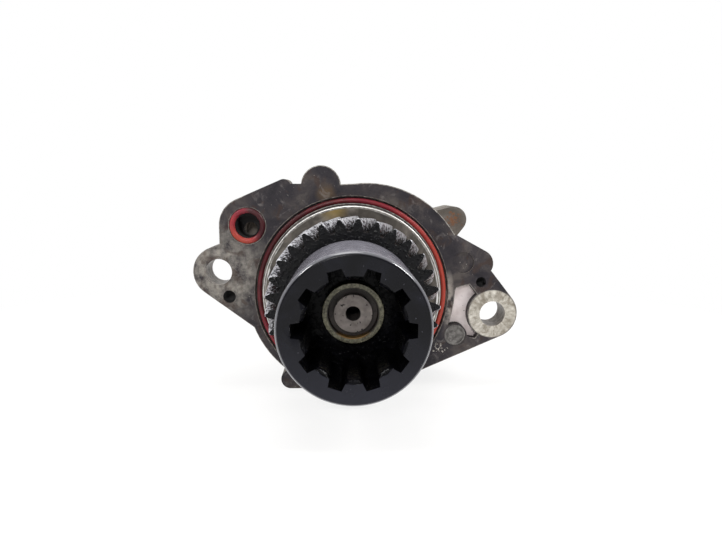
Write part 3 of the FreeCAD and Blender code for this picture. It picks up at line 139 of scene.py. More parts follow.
def oil_stained_casting():
    """Die-cast aluminium under old engine oil: charcoal and purple-brown clouds, paler at the left lug."""
    m = blank_material("oil_stained_casting")
    place = node(m, "TexCoord", output="Object")
    flat = node(m, "VectorMath", {0: place, 1: FLANGE_PLANE}, operation="MULTIPLY")

    # Clouds of varnished oil, about 14 mm wide
    clouds = node(m, "TexNoise", {"Vector": place, "Scale": 1 / (14 * MM), "Detail": 5.0,
                                  "Roughness": 0.62, "Distortion": 0.6})
    colour = node(m, "ValToRGB", {"Fac": clouds}, stops=(
        (0.32, "#141117"), (0.44, "#231f25"), (0.56, "#342f31"), (0.68, "#4d4744")))

    # Worn and washed paler towards the left lug
    left = node(m, "VectorMath", {0: flat, 1: LEFT_LUG}, "Value", operation="DISTANCE")
    near = node(m, "MapRange", {"Value": left, "From Min": 25 * MM, "From Max": 9 * MM})
    streaks = node(m, "TexNoise", {"Vector": place, "Scale": 1 / (5 * MM), "Detail": 5.0, "Roughness": 0.7})
    worn = node(m, "MapRange", {"Value": streaks, "From Min": 0.36, "From Max": 0.66})
    worn = node(m, "Math", {0: near, 1: worn}, operation="MULTIPLY")
    colour = node(m, "Mix", {SHARE: worn, UNDER: colour, OVER: linear("#928d85")}, BLEND, data_type="RGBA")

    # Brown varnish in blotches, yellowish under the top lug
    blotch = node(m, "TexNoise", {"Vector": place, "Scale": 1 / (7 * MM), "Detail": 5.0, "Distortion": 1.2})
    blotch = node(m, "MapRange", {"Value": blotch, "From Min": 0.54, "From Max": 0.66, "To Max": 0.6})
    colour = node(m, "Mix", {SHARE: blotch, UNDER: colour, OVER: linear("#38271f")}, BLEND, data_type="RGBA")
    below = node(m, "VectorMath", {0: flat, 1: UNDER_TOP_LUG}, "Value", operation="DISTANCE")
    below = node(m, "MapRange", {"Value": below, "From Min": 5.0 * MM, "From Max": 1.0 * MM, "To Max": 0.5})
    colour = node(m, "Mix", {SHARE: below, UNDER: colour, OVER: linear("#655033")}, BLEND, data_type="RGBA")

    # Pale grey scuffs
    scuffs = node(m, "TexNoise", {"Vector": place, "Scale": 1 / (4.5 * MM), "Detail": 5.0,
                                  "Roughness": 0.65, "Distortion": 0.9})
    scuffs = node(m, "MapRange", {"Value": scuffs, "From Min": 0.58, "From Max": 0.72, "To Max": 0.40})
    colour = node(m, "Mix", {SHARE: scuffs, UNDER: colour, OVER: linear("#7c7775")}, BLEND, data_type="RGBA")

    # Pale gritty remains of sealant between the big O-ring and the pocket
    gritty = node(m, "VectorMath", {0: flat, 1: BESIDE_RING}, operation="SUBTRACT")
    gritty = node(m, "VectorMath", {0: gritty, 1: (1.0, 0.0, 0.22)}, operation="MULTIPLY")
    gritty = node(m, "VectorMath", {0: gritty}, "Value", operation="LENGTH")
    gritty = node(m, "MapRange", {"Value": gritty, "From Min": 3.0 * MM, "From Max": 1.4 * MM})
    patchy = node(m, "MapRange", {"Value": streaks, "From Min": 0.45, "From Max": 0.58, "To Max": 0.7})
    gritty = node(m, "Math", {0: gritty, 1: patchy}, operation="MULTIPLY")
    colour = node(m, "Mix", {SHARE: gritty, UNDER: colour, OVER: linear("#a39b93")}, BLEND, data_type="RGBA")

    # Bare scratches and chips, thickest beside the plug
    chips = node(m, "TexNoise", {"Vector": place, "Scale": 1 / (1.0 * MM), "Detail": 4.0, "Roughness": 0.6})
    beside = node(m, "VectorMath", {0: flat, 1: BESIDE_PLUG}, "Value", operation="DISTANCE")
    beside = node(m, "MapRange", {"Value": beside, "From Min": 5 * MM, "From Max": 1 * MM, "To Max": 0.17})
    chips = node(m, "Math", {0: chips, 1: beside}, operation="ADD")
    chips = node(m, "MapRange", {"Value": chips, "From Min": 0.69, "From Max": 0.73, "To Max": 0.9})
    colour = node(m, "Mix", {SHARE: chips, UNDER: colour, OVER: linear("#b9b3ab")}, BLEND, data_type="RGBA")

    # Machined seat of the right lug: bare, scraped and stained
    lug = node(m, "VectorMath", {0: flat, 1: RIGHT_LUG}, "Value", operation="DISTANCE")
    height = node(m, "SeparateXYZ", {0: place}, "Y")
    inside = node(m, "MapRange", {"Value": lug, "From Min": LUG_FACE, "From Max": LUG_FACE - 0.5 * MM})
    front = node(m, "MapRange", {"Value": height, "From Min": 0.5 * MM, "From Max": 0.2 * MM})
    seat = node(m, "Math", {0: inside, 1: front}, operation="MULTIPLY")
    spoke = node(m, "VectorMath", {0: flat, 1: RIGHT_LUG}, operation="SUBTRACT")
    across = node(m, "SeparateXYZ", {0: spoke}, "X")
    along = node(m, "SeparateXYZ", {0: spoke}, "Z")
    turn = node(m, "Math", {0: along, 1: across}, operation="ARCTAN2")
    outward = node(m, "Math", {0: lug, 1: 1 / (16 * MM)}, operation="MULTIPLY")
    polar = node(m, "CombineXYZ", {"X": turn, "Y": outward, "Z": 0.0})
    scraped = node(m, "TexNoise", {"Vector": polar, "Scale": 5.5, "Detail": 6.0, "Roughness": 0.6})
    bare = node(m, "ValToRGB", {"Fac": scraped}, stops=(
        (0.30, "#7c766b"), (0.42, "#a8a297"), (0.55, "#bfbab0"), (0.70, "#d6d2c9")))
    stain = node(m, "MapRange", {"Value": blotch, "From Min": 0.05, "From Max": 0.5, "To Max": 0.55})
    bare = node(m, "Mix", {SHARE: stain, UNDER: bare, OVER: linear("#6f6555")}, BLEND, data_type="RGBA")
    colour = node(m, "Mix", {SHARE: seat, UNDER: colour, OVER: bare}, BLEND, data_type="RGBA")

    # Painted shade: near-black colour inside the oil port, and in the blind holes out to 5 mm from their axes
    painted_hole_shade = node(m, "MapRange", {"Value": height, "From Min": 0.3 * MM, "From Max": 1.2 * MM})
    port = node(m, "VectorMath", {0: flat, 1: OIL_PORT}, "Value", operation="DISTANCE")
    left_pin = node(m, "VectorMath", {0: flat, 1: LEFT_PIN}, "Value", operation="DISTANCE")
    right_pin = node(m, "VectorMath", {0: flat, 1: RIGHT_PIN}, "Value", operation="DISTANCE")
    pins = node(m, "Math", {0: left_pin, 1: right_pin}, operation="MINIMUM")
    pins = node(m, "Math", {0: pins, 1: 2.5 * MM}, operation="ADD")
    port = node(m, "Math", {0: port, 1: pins}, operation="MINIMUM")
    port = node(m, "MapRange", {"Value": port, "From Min": 7.6 * MM, "From Max": 7.4 * MM, "To Max": 0.93})
    painted_hole_shade = node(m, "Math", {0: port, 1: painted_hole_shade}, operation="MULTIPLY")
    colour = node(m, "Mix", {SHARE: painted_hole_shade, UNDER: colour, OVER: linear("#0c0b0c")}, BLEND, data_type="RGBA")

    # Sandy skin, and fine rings left by the cutter on the seat
    grain = node(m, "TexNoise", {"Vector": place, "Scale": 1 / (0.7 * MM), "Detail": 2.0})
    rings = node(m, "Math", {0: lug, 1: 2 * math.pi / (0.9 * MM)}, operation="MULTIPLY")
    rings = node(m, "Math", {0: rings}, operation="SINE")
    rings = node(m, "Math", {0: rings, 1: seat}, operation="MULTIPLY")
    relief = node(m, "Math", {0: rings, 1: 0.15, 2: grain}, operation="MULTIPLY_ADD")
    relief = node(m, "Bump", {"Height": relief, "Strength": 1.0, "Distance": 0.10 * MM})
    gloss = node(m, "MapRange", {"Value": clouds, "From Min": 0.3, "From Max": 0.7,
                                 "To Min": 0.42, "To Max": 0.68})
    shine = node(m, "MapRange", {"Value": seat, "To Min": 0.15, "To Max": 0.55})
    shader = node(m, "BsdfPrincipled", {"Base Color": colour, "Roughness": gloss, "Metallic": shine,
                                        "Normal": relief, "Specular IOR Level": 0.35})
    node(m, "OutputMaterial", {"Surface": shader})
    return m


def turned_spigot():
    """Turned aluminium ring: brown oil varnish on its face, wiped bare along its outer edge and painted near
    white there as a highlight.
    """
    m = blank_material("turned_spigot")
    place = node(m, "TexCoord", output="Object")
    flat = node(m, "VectorMath", {0: place, 1: FLANGE_PLANE}, operation="MULTIPLY")
    radius = node(m, "VectorMath", {0: flat, 1: SHAFT_AXIS}, "Value", operation="DISTANCE")
    height = node(m, "SeparateXYZ", {0: place}, "Y")

    # Oil varnish, clouded at 8 mm
    clouds = node(m, "TexNoise", {"Vector": place, "Scale": 1 / (8 * MM), "Detail": 4.0, "Distortion": 0.8})
    varnish = node(m, "ValToRGB", {"Fac": clouds}, stops=(
        (0.32, "#332e2a"), (0.48, "#4e4943"), (0.60, "#68625b"), (0.72, "#877f76")))
    golden = node(m, "VectorMath", {0: flat, 1: GOLDEN_STAIN}, "Value", operation="DISTANCE")
    golden = node(m, "MapRange", {"Value": golden, "From Min": 6.5 * MM, "From Max": 1.0 * MM,
                                  "To Max": 0.75})
    varnish = node(m, "Mix", {SHARE: golden, UNDER: varnish, OVER: linear("#8c7436")}, BLEND,
                   data_type="RGBA")

    # Wiped edge with a painted highlight: the chamfer and the last millimetre of the face, painted near white
    upward = node(m, "SeparateXYZ", {0: place}, "Z")
    thin = node(m, "MapRange", {"Value": upward, "From Min": 8 * MM, "From Max": 34 * MM,
                                "To Min": SPIGOT_RADIUS - 2.6 * MM, "To Max": SPIGOT_RADIUS - 2.1 * MM})
    wander = node(m, "Math", {0: clouds, 1: 1.8 * MM, 2: thin}, operation="MULTIPLY_ADD")
    past = node(m, "Math", {0: radius, 1: wander}, operation="SUBTRACT")
    wiped_highlight = node(m, "MapRange", {"Value": past, "From Min": 0.0, "From Max": 0.5 * MM})
    front = node(m, "MapRange", {"Value": height, "From Min": SPIGOT_FRONT + 0.9 * MM,
                                 "From Max": SPIGOT_FRONT + 0.7 * MM})
    wiped_highlight = node(m, "Math", {0: wiped_highlight, 1: front}, operation="MULTIPLY")
    colour = node(m, "Mix", {SHARE: wiped_highlight, UNDER: varnish, OVER: linear("#e4e3e1")}, BLEND, data_type="RGBA")

    # Dark gold side wall behind the edge, down to the O-ring
    side = node(m, "MapRange", {"Value": radius, "From Min": SPIGOT_RADIUS - 0.2 * MM,
                                "From Max": SPIGOT_RADIUS - 0.1 * MM})
    behind = node(m, "Math", {0: 1.0, 1: front}, operation="SUBTRACT")
    side = node(m, "Math", {0: side, 1: behind}, operation="MULTIPLY")
    colour = node(m, "Mix", {SHARE: side, UNDER: colour, OVER: linear("#33291d")}, BLEND, data_type="RGBA")

    # Turning marks, drawn 0.6 mm apart so that they show
    grooves = node(m, "Math", {0: radius, 1: 2 * math.pi / (0.6 * MM)}, operation="MULTIPLY")
    grooves = node(m, "Math", {0: grooves}, operation="SINE")
    relief = node(m, "Bump", {"Height": grooves, "Strength": 1.0, "Distance": 0.01 * MM})
    shader = node(m, "BsdfPrincipled", {"Base Color": colour, "Roughness": 0.42, "Metallic": 0.45,
                                        "Normal": relief})
    node(m, "OutputMaterial", {"Surface": shader})
    return m


def clean_pocket():
    """Bare die-cast skin that the oil hasn't reached: pinkish white, with black specks."""
    m = blank_material("clean_pocket")
    place = node(m, "TexCoord", output="Object")
    clouds = node(m, "TexNoise", {"Vector": place, "Scale": 1 / (6 * MM), "Detail": 3.0})
    colour = node(m, "ValToRGB", {"Fac": clouds}, stops=((0.35, "#d0c3c1"), (0.65, "#ebe1e0")))
    specks = node(m, "TexNoise", {"Vector": place, "Scale": 1 / (1.1 * MM), "Detail": 3.0, "Roughness": 0.6})
    specks = node(m, "MapRange", {"Value": specks, "From Min": 0.67, "From Max": 0.71})
    colour = node(m, "Mix", {SHARE: specks, UNDER: colour, OVER: linear("#2e2927")}, BLEND, data_type="RGBA")
    grain = node(m, "TexNoise", {"Vector": place, "Scale": 1 / (0.5 * MM), "Detail": 2.0})
    relief = node(m, "Bump", {"Height": grain, "Strength": 1.0, "Distance": 0.05 * MM})
    shader = node(m, "BsdfPrincipled", {"Base Color": colour, "Roughness": 0.55, "Metallic": 0.1,
                                        "Normal": relief})
    node(m, "OutputMaterial", {"Surface": shader})
    return m


def bare_casting(name, dark, middle, pale, grime_share):
    """Die-cast aluminium away from the gear: dull grey-brown, sandy, rusty where a steel bolt bled."""
    m = blank_material(name)
    place = node(m, "TexCoord", output="Object")
    clouds = node(m, "TexNoise", {"Vector": place, "Scale": 1 / (11 * MM), "Detail": 4.0, "Distortion": 0.4})
    colour = node(m, "ValToRGB", {"Fac": clouds}, stops=((0.32, dark), (0.5, middle), (0.70, pale)))
    grime = node(m, "TexNoise", {"Vector": place, "Scale": 1 / (12 * MM), "Detail": 6.0, "Distortion": 0.4})
    grime = node(m, "MapRange", {"Value": grime, "From Min": 0.46, "From Max": 0.74, "To Max": grime_share})
    colour = node(m, "Mix", {SHARE: grime, UNDER: colour, OVER: linear("#4d3a2a")}, BLEND, data_type="RGBA")

    # Rust on the long ear, seen beside the flange
    flat = node(m, "VectorMath", {0: place, 1: FLANGE_PLANE}, operation="MULTIPLY")
    ear = node(m, "VectorMath", {0: flat, 1: REAR_EAR}, "Value", operation="DISTANCE")
    near = node(m, "MapRange", {"Value": ear, "From Min": 5.5 * MM, "From Max": 1.5 * MM, "To Max": 0.24})
    spots = node(m, "TexNoise", {"Vector": place, "Scale": 1 / (1.6 * MM), "Detail": 4.0, "Roughness": 0.7})
    rust = node(m, "Math", {0: near, 1: spots}, operation="ADD")
    rust = node(m, "MapRange", {"Value": rust, "From Min": 0.62, "From Max": 0.76, "To Max": 0.75})
    colour = node(m, "Mix", {SHARE: rust, UNDER: colour, OVER: linear("#7b4f30")}, BLEND, data_type="RGBA")
    grain = node(m, "TexNoise", {"Vector": place, "Scale": 1 / (0.6 * MM), "Detail": 2.0})
    relief = node(m, "Bump", {"Height": grain, "Strength": 1.0, "Distance": 0.09 * MM})
    shader = node(m, "BsdfPrincipled", {"Base Color": colour, "Roughness": 0.6, "Metallic": 0.3,
                                        "Normal": relief, "Specular IOR Level": 0.4})
    node(m, "OutputMaterial", {"Surface": shader})
    return m


def black_oil(name, mirror, coat):
    """Steel under a film of black engine oil: almost black, wet, with small beads of oil."""
    m = blank_material(name)
    place = node(m, "TexCoord", output="Object")
    clouds = node(m, "TexNoise", {"Vector": place, "Scale": 1 / (3 * MM), "Detail": 3.0})
    colour = node(m, "ValToRGB", {"Fac": clouds}, stops=((0.35, "#040405"), (0.70, "#0b0b0f")))
    beads = node(m, "TexNoise", {"Vector": place, "Scale": 1 / (1.5 * MM), "Detail": 2.0, "Distortion": 0.5})
    beads = node(m, "MapRange", {"Value": beads, "From Min": 0.5, "From Max": 0.66})
    relief = node(m, "Bump", {"Height": beads, "Strength": 1.0, "Distance": 0.22 * MM})
    shader = node(m, "BsdfPrincipled", {"Base Color": colour, "Roughness": 0.22, "Normal": relief,
                                        "Specular IOR Level": mirror, "Coat Weight": coat,
                                        "Coat Roughness": 0.10})
    node(m, "OutputMaterial", {"Surface": shader})
    return m


def ground_flank():
    """Ground gear steel: silver, with specks of black oil that thicken towards the roots."""
    m = blank_material("ground_flank")
    place = node(m, "TexCoord", output="Object")
    flat = node(m, "VectorMath", {0: place, 1: FLANGE_PLANE}, operation="MULTIPLY")
    radius = node(m, "VectorMath", {0: flat, 1: SHAFT_AXIS}, "Value", operation="DISTANCE")
    specks = node(m, "TexNoise", {"Vector": place, "Scale": 1 / (1.1 * MM), "Detail": 4.0,
                                  "Roughness": 0.7, "Distortion": 0.5})
    depth = node(m, "MapRange", {"Value": radius, "From Min": 29 * MM, "From Max": 33.3 * MM,
                                 "To Min": 0.16, "To Max": -0.08})
    oily = node(m, "Math", {0: specks, 1: depth}, operation="ADD")
    colour = node(m, "ValToRGB", {"Fac": oily}, stops=(
        (0.40, "#dcdce0"), (0.50, "#9a9aa1"), (0.53, "#131317"), (0.72, "#060608")))
    bare = node(m, "MapRange", {"Value": oily, "From Min": 0.57, "From Max": 0.50, "To Min": 0.1,
                                "To Max": 0.7})
    wet = node(m, "MapRange", {"Value": oily, "From Min": 0.50, "From Max": 0.54, "To Min": 0.38,
                               "To Max": 0.14})
    relief = node(m, "Bump", {"Height": specks, "Strength": 1.0, "Distance": 0.16 * MM})
    shader = node(m, "BsdfPrincipled", {"Base Color": colour, "Roughness": wet, "Metallic": bare,
                                        "Normal": relief})
    node(m, "OutputMaterial", {"Surface": shader})
    return m


def blackened_hub():
    """Oil-blackened hardened steel: blue-black and smooth, its front edge rubbed to bare steel and painted
    pale as a highlight, with a sheen painted on its outside.
    """
    m = blank_material("blackened_hub")
    place = node(m, "TexCoord", output="Object")
    flat = node(m, "VectorMath", {0: place, 1: FLANGE_PLANE}, operation="MULTIPLY")
    radius = node(m, "VectorMath", {0: flat, 1: SHAFT_AXIS}, "Value", operation="DISTANCE")
    height = node(m, "SeparateXYZ", {0: place}, "Y")
    clouds = node(m, "TexNoise", {"Vector": place, "Scale": 1 / (9 * MM), "Detail": 4.0, "Distortion": 0.6})
    colour = node(m, "ValToRGB", {"Fac": clouds}, stops=(
        (0.35, "#050509"), (0.55, "#09090f"), (0.75, "#101119")))
    low = node(m, "SeparateXYZ", {0: place}, "Z")
    low = node(m, "MapRange", {"Value": low, "From Min": 0.0, "From Max": -22 * MM, "To Max": 0.8})
    colour = node(m, "Mix", {SHARE: low, UNDER: colour, OVER: linear("#1e1f28")}, BLEND, data_type="RGBA")

    # Painted sheen: the outside is painted pale lavender grey, palest on top beside the gear, where light
    # from above falls
    outside = node(m, "MapRange", {"Value": radius, "From Min": HUB_RADIUS - 0.15 * MM,
                                   "From Max": HUB_RADIUS - 0.05 * MM})
    upward = node(m, "SeparateXYZ", {0: place}, "Z")
    upward = node(m, "MapRange", {"Value": upward, "From Min": 8 * MM, "From Max": 24 * MM,
                                  "To Min": 0.12, "To Max": 0.75})
    painted_top_sheen = node(m, "Math", {0: outside, 1: upward}, operation="MULTIPLY")
    colour = node(m, "Mix", {SHARE: painted_top_sheen, UNDER: colour, OVER: linear("#8b8992")}, BLEND, data_type="RGBA")

    # Rubbed front edge, pale as wear and as a painted highlight, and the odd bruise
    front_edge_wear_and_highlight = node(m, "MapRange", {"Value": radius, "From Min": HUB_RADIUS - 0.9 * MM,
                               "From Max": HUB_RADIUS - 0.5 * MM})
    front = node(m, "MapRange", {"Value": height, "From Min": HUB_FRONT + 1.6 * MM,
                                 "From Max": HUB_FRONT + 0.8 * MM, "To Max": 0.30})
    front_edge_wear_and_highlight = node(m, "Math", {0: front_edge_wear_and_highlight, 1: front}, operation="MULTIPLY")
    colour = node(m, "Mix", {SHARE: front_edge_wear_and_highlight, UNDER: colour, OVER: linear("#9a9aa2")}, BLEND, data_type="RGBA")
    bruise = node(m, "TexNoise", {"Vector": place, "Scale": 1 / (1.4 * MM), "Detail": 4.0, "Roughness": 0.6})
    bruise = node(m, "MapRange", {"Value": bruise, "From Min": 0.69, "From Max": 0.74, "To Max": 0.5})
    colour = node(m, "Mix", {SHARE: bruise, UNDER: colour, OVER: linear("#70717c")}, BLEND, data_type="RGBA")

    # Wet oil on the front edge, and streaks that make the gloss uneven
    wet = node(m, "MapRange", {"Value": front_edge_wear_and_highlight, "From Max": 0.2, "To Max": 0.9})
    streaks = node(m, "TexNoise", {"Vector": place, "Scale": 1 / (4 * MM), "Detail": 3.0})
    gloss = node(m, "MapRange", {"Value": streaks, "From Min": 0.3, "From Max": 0.7,
                                 "To Min": 0.14, "To Max": 0.28})
    relief = node(m, "Bump", {"Height": streaks, "Strength": 1.0, "Distance": 0.03 * MM})
    shader = node(m, "BsdfPrincipled", {"Base Color": colour, "Roughness": gloss, "Metallic": 0.0,
                                        "Normal": relief, "Specular IOR Level": 0.22,
                                        "Coat Weight": wet, "Coat Roughness": 0.10})
    node(m, "OutputMaterial", {"Surface": shader})
    return m


def silicone_ring(name, centre, film_side, orange_side):
    """Red silicone O-ring rubber: fresh orange-red in places, elsewhere under a film of dark oil."""
    m = blank_material(name)
    place = node(m, "TexCoord", output="Object")
    across = node(m, "VectorMath", {0: place, 1: centre}, operation="SUBTRACT")
    across = node(m, "VectorMath", {0: across, 1: film_side}, "Value", operation="DOT_PRODUCT")
    patches = node(m, "TexNoise", {"Vector": place, "Scale": 1 / (8 * MM), "Detail": 4.0, "Distortion": 0.5})
    fresh = node(m, "MapRange", {"Value": patches, "From Min": 0.35, "From Max": 0.65})
    colour = node(m, "Mix", {SHARE: fresh, UNDER: linear("#74212e"), OVER: linear("#98383a")}, BLEND,
                  data_type="RGBA")
    swollen = node(m, "VectorMath", {0: place, 1: centre}, operation="SUBTRACT")
    swollen = node(m, "VectorMath", {0: swollen, 1: orange_side}, "Value", operation="DOT_PRODUCT")
    swollen = node(m, "MapRange", {"Value": swollen, "From Min": 0.25, "From Max": 0.75})
    colour = node(m, "Mix", {SHARE: swollen, UNDER: colour, OVER: linear("#9c3d2c")}, BLEND, data_type="RGBA")
    film = node(m, "Math", {0: patches, 1: 0.9, 2: across}, operation="MULTIPLY_ADD")
    film = node(m, "MapRange", {"Value": film, "From Min": 0.45, "From Max": 0.85, "To Max": 0.85})
    colour = node(m, "Mix", {SHARE: film, UNDER: colour, OVER: linear("#1f1215")}, BLEND, data_type="RGBA")
    fine = node(m, "TexNoise", {"Vector": place, "Scale": 1 / (0.8 * MM), "Detail": 2.0})
    relief = node(m, "Bump", {"Height": fine, "Strength": 1.0, "Distance": 0.02 * MM})
    shader = node(m, "BsdfPrincipled", {"Base Color": colour, "Roughness": 0.32, "Normal": relief,
                                        "Specular IOR Level": 0.25})
    node(m, "OutputMaterial", {"Surface": shader})
    return m


def worked_steel(name, dark, pale, roughness, mark=2.5 * MM, metallic=0.6):
    """Machined, plated or sprung metal: one tone, clouded and finely marked."""
    m = blank_material(name)
    place = node(m, "TexCoord", output="Object")
    clouds = node(m, "TexNoise", {"Vector": place, "Scale": 1 / mark, "Detail": 4.0, "Distortion": 0.4})
    colour = node(m, "ValToRGB", {"Fac": clouds}, stops=((0.35, dark), (0.68, pale)))
    pits = node(m, "TexNoise", {"Vector": place, "Scale": 1 / (0.5 * MM), "Detail": 2.0})
    relief = node(m, "Bump", {"Height": pits, "Strength": 1.0, "Distance": 0.02 * MM})
    shader = node(m, "BsdfPrincipled", {"Base Color": colour, "Roughness": roughness,
                                        "Metallic": metallic, "Normal": relief})
    node(m, "OutputMaterial", {"Surface": shader})
    return m


def shaft_end_steel():
    """Turned shaft steel, dull and slightly brown, with black pits; brown oil in the step round it, and
    painted shade in its centre hole.
    """
    m = blank_material("shaft_end_steel")
    place = node(m, "TexCoord", output="Object")
    clouds = node(m, "TexNoise", {"Vector": place, "Scale": 1 / (3 * MM), "Detail": 3.0})
    colour = node(m, "ValToRGB", {"Fac": clouds}, stops=((0.35, "#6c6460"), (0.68, "#8d8580")))
    pits = node(m, "TexNoise", {"Vector": place, "Scale": 1 / (1.2 * MM), "Detail": 1.0})
    pits = node(m, "MapRange", {"Value": pits, "From Min": 0.66, "From Max": 0.69})
    colour = node(m, "Mix", {SHARE: pits, UNDER: colour, OVER: linear("#171414")}, BLEND, data_type="RGBA")
    flat = node(m, "VectorMath", {0: place, 1: FLANGE_PLANE}, operation="MULTIPLY")
    radius = node(m, "VectorMath", {0: flat, 1: SHAFT_AXIS}, "Value", operation="DISTANCE")
    step = node(m, "MapRange", {"Value": radius, "From Min": SHAFT_END_RADIUS,
                                "From Max": SHAFT_END_RADIUS + 0.2 * MM, "To Max": 0.92})
    colour = node(m, "Mix", {SHARE: step, UNDER: colour, OVER: linear("#211812")}, BLEND, data_type="RGBA")
    # Painted shade: the centre hole is painted near black
    hole = node(m, "MapRange", {"Value": radius, "From Min": CENTRE_HOLE + 0.1 * MM,
                                "From Max": CENTRE_HOLE - 0.1 * MM, "To Max": 0.95})
    colour = node(m, "Mix", {SHARE: hole, UNDER: colour, OVER: linear("#0d0a09")}, BLEND, data_type="RGBA")
    relief = node(m, "Bump", {"Height": clouds, "Strength": 1.0, "Distance": 0.03 * MM})
    shader = node(m, "BsdfPrincipled", {"Base Color": colour, "Roughness": 0.5, "Metallic": 0.2,
                                        "Normal": relief})
    node(m, "OutputMaterial", {"Surface": shader})
    return m


def phosphated_collar():
    """Phosphated steel, olive grey and speckled; old oil in its inner groove, golden at the bottom as a stain
    with a painted glint.
    """
    m = blank_material("phosphated_collar")
    place = node(m, "TexCoord", output="Object")
    flat = node(m, "VectorMath", {0: place, 1: FLANGE_PLANE}, operation="MULTIPLY")
    radius = node(m, "VectorMath", {0: flat, 1: SHAFT_AXIS}, "Value", operation="DISTANCE")
    low = node(m, "SeparateXYZ", {0: place}, "Z")
    grains = node(m, "TexNoise", {"Vector": place, "Scale": 1 / (0.8 * MM), "Detail": 4.0, "Roughness": 0.7})
    colour = node(m, "ValToRGB", {"Fac": grains}, stops=(
        (0.34, "#37352a"), (0.50, "#6a6754"), (0.66, "#8f8c78")))
    groove = node(m, "MapRange", {"Value": radius, "From Min": COLLAR_GROOVE + 0.3 * MM,
                                  "From Max": COLLAR_GROOVE, "To Max": 0.95})
    # Painted highlight: the bottom of the groove turns golden, a stain with a painted glint on it
    golden = node(m, "MapRange", {"Value": low, "From Min": -6.6 * MM, "From Max": -8.4 * MM, "To Max": 0.8})
    oil_and_glint = node(m, "Mix", {SHARE: golden, UNDER: linear("#1d1610"), OVER: linear("#8a6526")}, BLEND,
               data_type="RGBA")
    colour = node(m, "Mix", {SHARE: groove, UNDER: colour, OVER: oil_and_glint}, BLEND, data_type="RGBA")
    relief = node(m, "Bump", {"Height": grains, "Strength": 1.0, "Distance": 0.05 * MM})
    shader = node(m, "BsdfPrincipled", {"Base Color": colour, "Roughness": 0.4, "Metallic": 0.2,
                                        "Normal": relief})
    node(m, "OutputMaterial", {"Surface": shader})
    return m


def moulded_plastic(name, dark, pale, roughness):
    """Moulded plastic, carbon or rubber inside the pump: dark and faintly grained."""
    m = blank_material(name)
    place = node(m, "TexCoord", output="Object")
    clouds = node(m, "TexNoise", {"Vector": place, "Scale": 1 / (4 * MM), "Detail": 3.0})
    colour = node(m, "Mix", {SHARE: clouds, UNDER: linear(dark), OVER: linear(pale)}, BLEND, data_type="RGBA")
    grain = node(m, "TexNoise", {"Vector": place, "Scale": 1 / (0.4 * MM), "Detail": 2.0})
    relief = node(m, "Bump", {"Height": grain, "Strength": 1.0, "Distance": 0.02 * MM})
    shader = node(m, "BsdfPrincipled", {"Base Color": colour, "Roughness": roughness, "Normal": relief})
    node(m, "OutputMaterial", {"Surface": shader})
    return m


CASTING = oil_stained_casting()
SPIGOT = turned_spigot()
POCKET = clean_pocket()
REAR_CASTING = bare_casting("rear_casting", "#55504a", "#66605a", "#7a746c", 0.6)
COVER_CASTING = bare_casting("cover_casting", "#68635c", "#7b766e", "#8f897f", 0.45)
OIL = black_oil("black_oil", 0.16, 0.08)
SOCKET_OIL = black_oil("socket_oil", 0.06, 0.03)
FLANK = ground_flank()
HUB = blackened_hub()
PILOT_RING = silicone_ring("pilot_ring_silicone", SHAFT_AXIS, (-8.0, 0.0, 6.0), (16.0, 0.0, 0.0))
PORT_RING = silicone_ring("port_ring_silicone", OIL_PORT, (120.0, 0.0, 50.0), (-50.0, 0.0, -90.0))
SHAFT_END = shaft_end_steel()
COLLAR = phosphated_collar()
# Worn bare metal on the rounded edges of the castings, pale enough to serve as a painted highlight too
WORN_EDGE_AND_HIGHLIGHT = worked_steel("worn_edge_and_highlight", "#4a4642", "#8f8a84", 0.45, 1.5 * MM, 0.3)
BORE = worked_steel("drilled_bore", "#4a3c30", "#8d857b", 0.4, 2.0 * MM, 0.3)
PLUG = worked_steel("plug_steel", "#4a4745", "#7d7a77", 0.5, 1.6 * MM, 0.3)
ZINC = worked_steel("zinc_plate", "#76746c", "#a09e97", 0.42)
BEARING = worked_steel("bearing_steel", "#8c8c8e", "#b8b8ba", 0.25, metallic=0.8)
SPRING = worked_steel("spring_steel", "#3f3f42", "#606063", 0.35)
BRONZE = worked_steel("bushing_bronze", "#84613a", "#a97f4b", 0.4)
SEAL = worked_steel("soft_aluminium", "#9c9c9c", "#bebebe", 0.45)
ROTOR = worked_steel("rotor_iron", "#3b3b3f", "#58585c", 0.4)
VANE = moulded_plastic("carbon_vane", "#121213", "#232325", 0.5)
VALVE = moulded_plastic("valve_plastic", "#161617", "#28282a", 0.4)
RUBBER = moulded_plastic("black_rubber", "#0c0c0c", "#1c1c1c", 0.6)

# Every part gets a finish; the ten with rounded edges get theirs again further down
FINISHES = {
    "rear_cover": COVER_CASTING, "gallery_plug": PLUG, "cover_seal": RUBBER, "rear_bushing": BRONZE,
    "cover_bolts": ZINC, "cover_dowels": PLUG, "bearing_outer_ring": BEARING,
    "bearing_inner_ring": BEARING, "bearing_balls": BEARING, "bearing_cage": BEARING,
    "bearing_circlip": SPRING, "vacuum_union": ZINC, "union_seal": SEAL, "valve_retainer": SPRING,
    "valve_spring": SPRING, "valve_poppet": VALVE, "reed_tail": SPRING, "reed_stop": PLUG,
    "reed_screw": ZINC, "outlet_reed": SPRING, "drive_shaft": SHAFT_END, "hub_key": PLUG,
    "rotor_key": PLUG, "locking_collar": COLLAR, "rotor": ROTOR, "vane_1": VANE, "vane_2": VANE,
    "vane_3": VANE, "pilot_o_ring": PILOT_RING, "oil_port_o_ring": PORT_RING, "pump_housing": CASTING,
    "spline_hub": HUB, "driven_gear": OIL,
}
for name, material in FINISHES.items():
    mesh = frame["nodes"][name].data
    mesh.materials.clear()
    mesh.materials.append(material)


# Pieces with rounded edges

BODIES = {part: body for body, members in frame["record"]["behaviour"]["bodies"].items() for part in members}


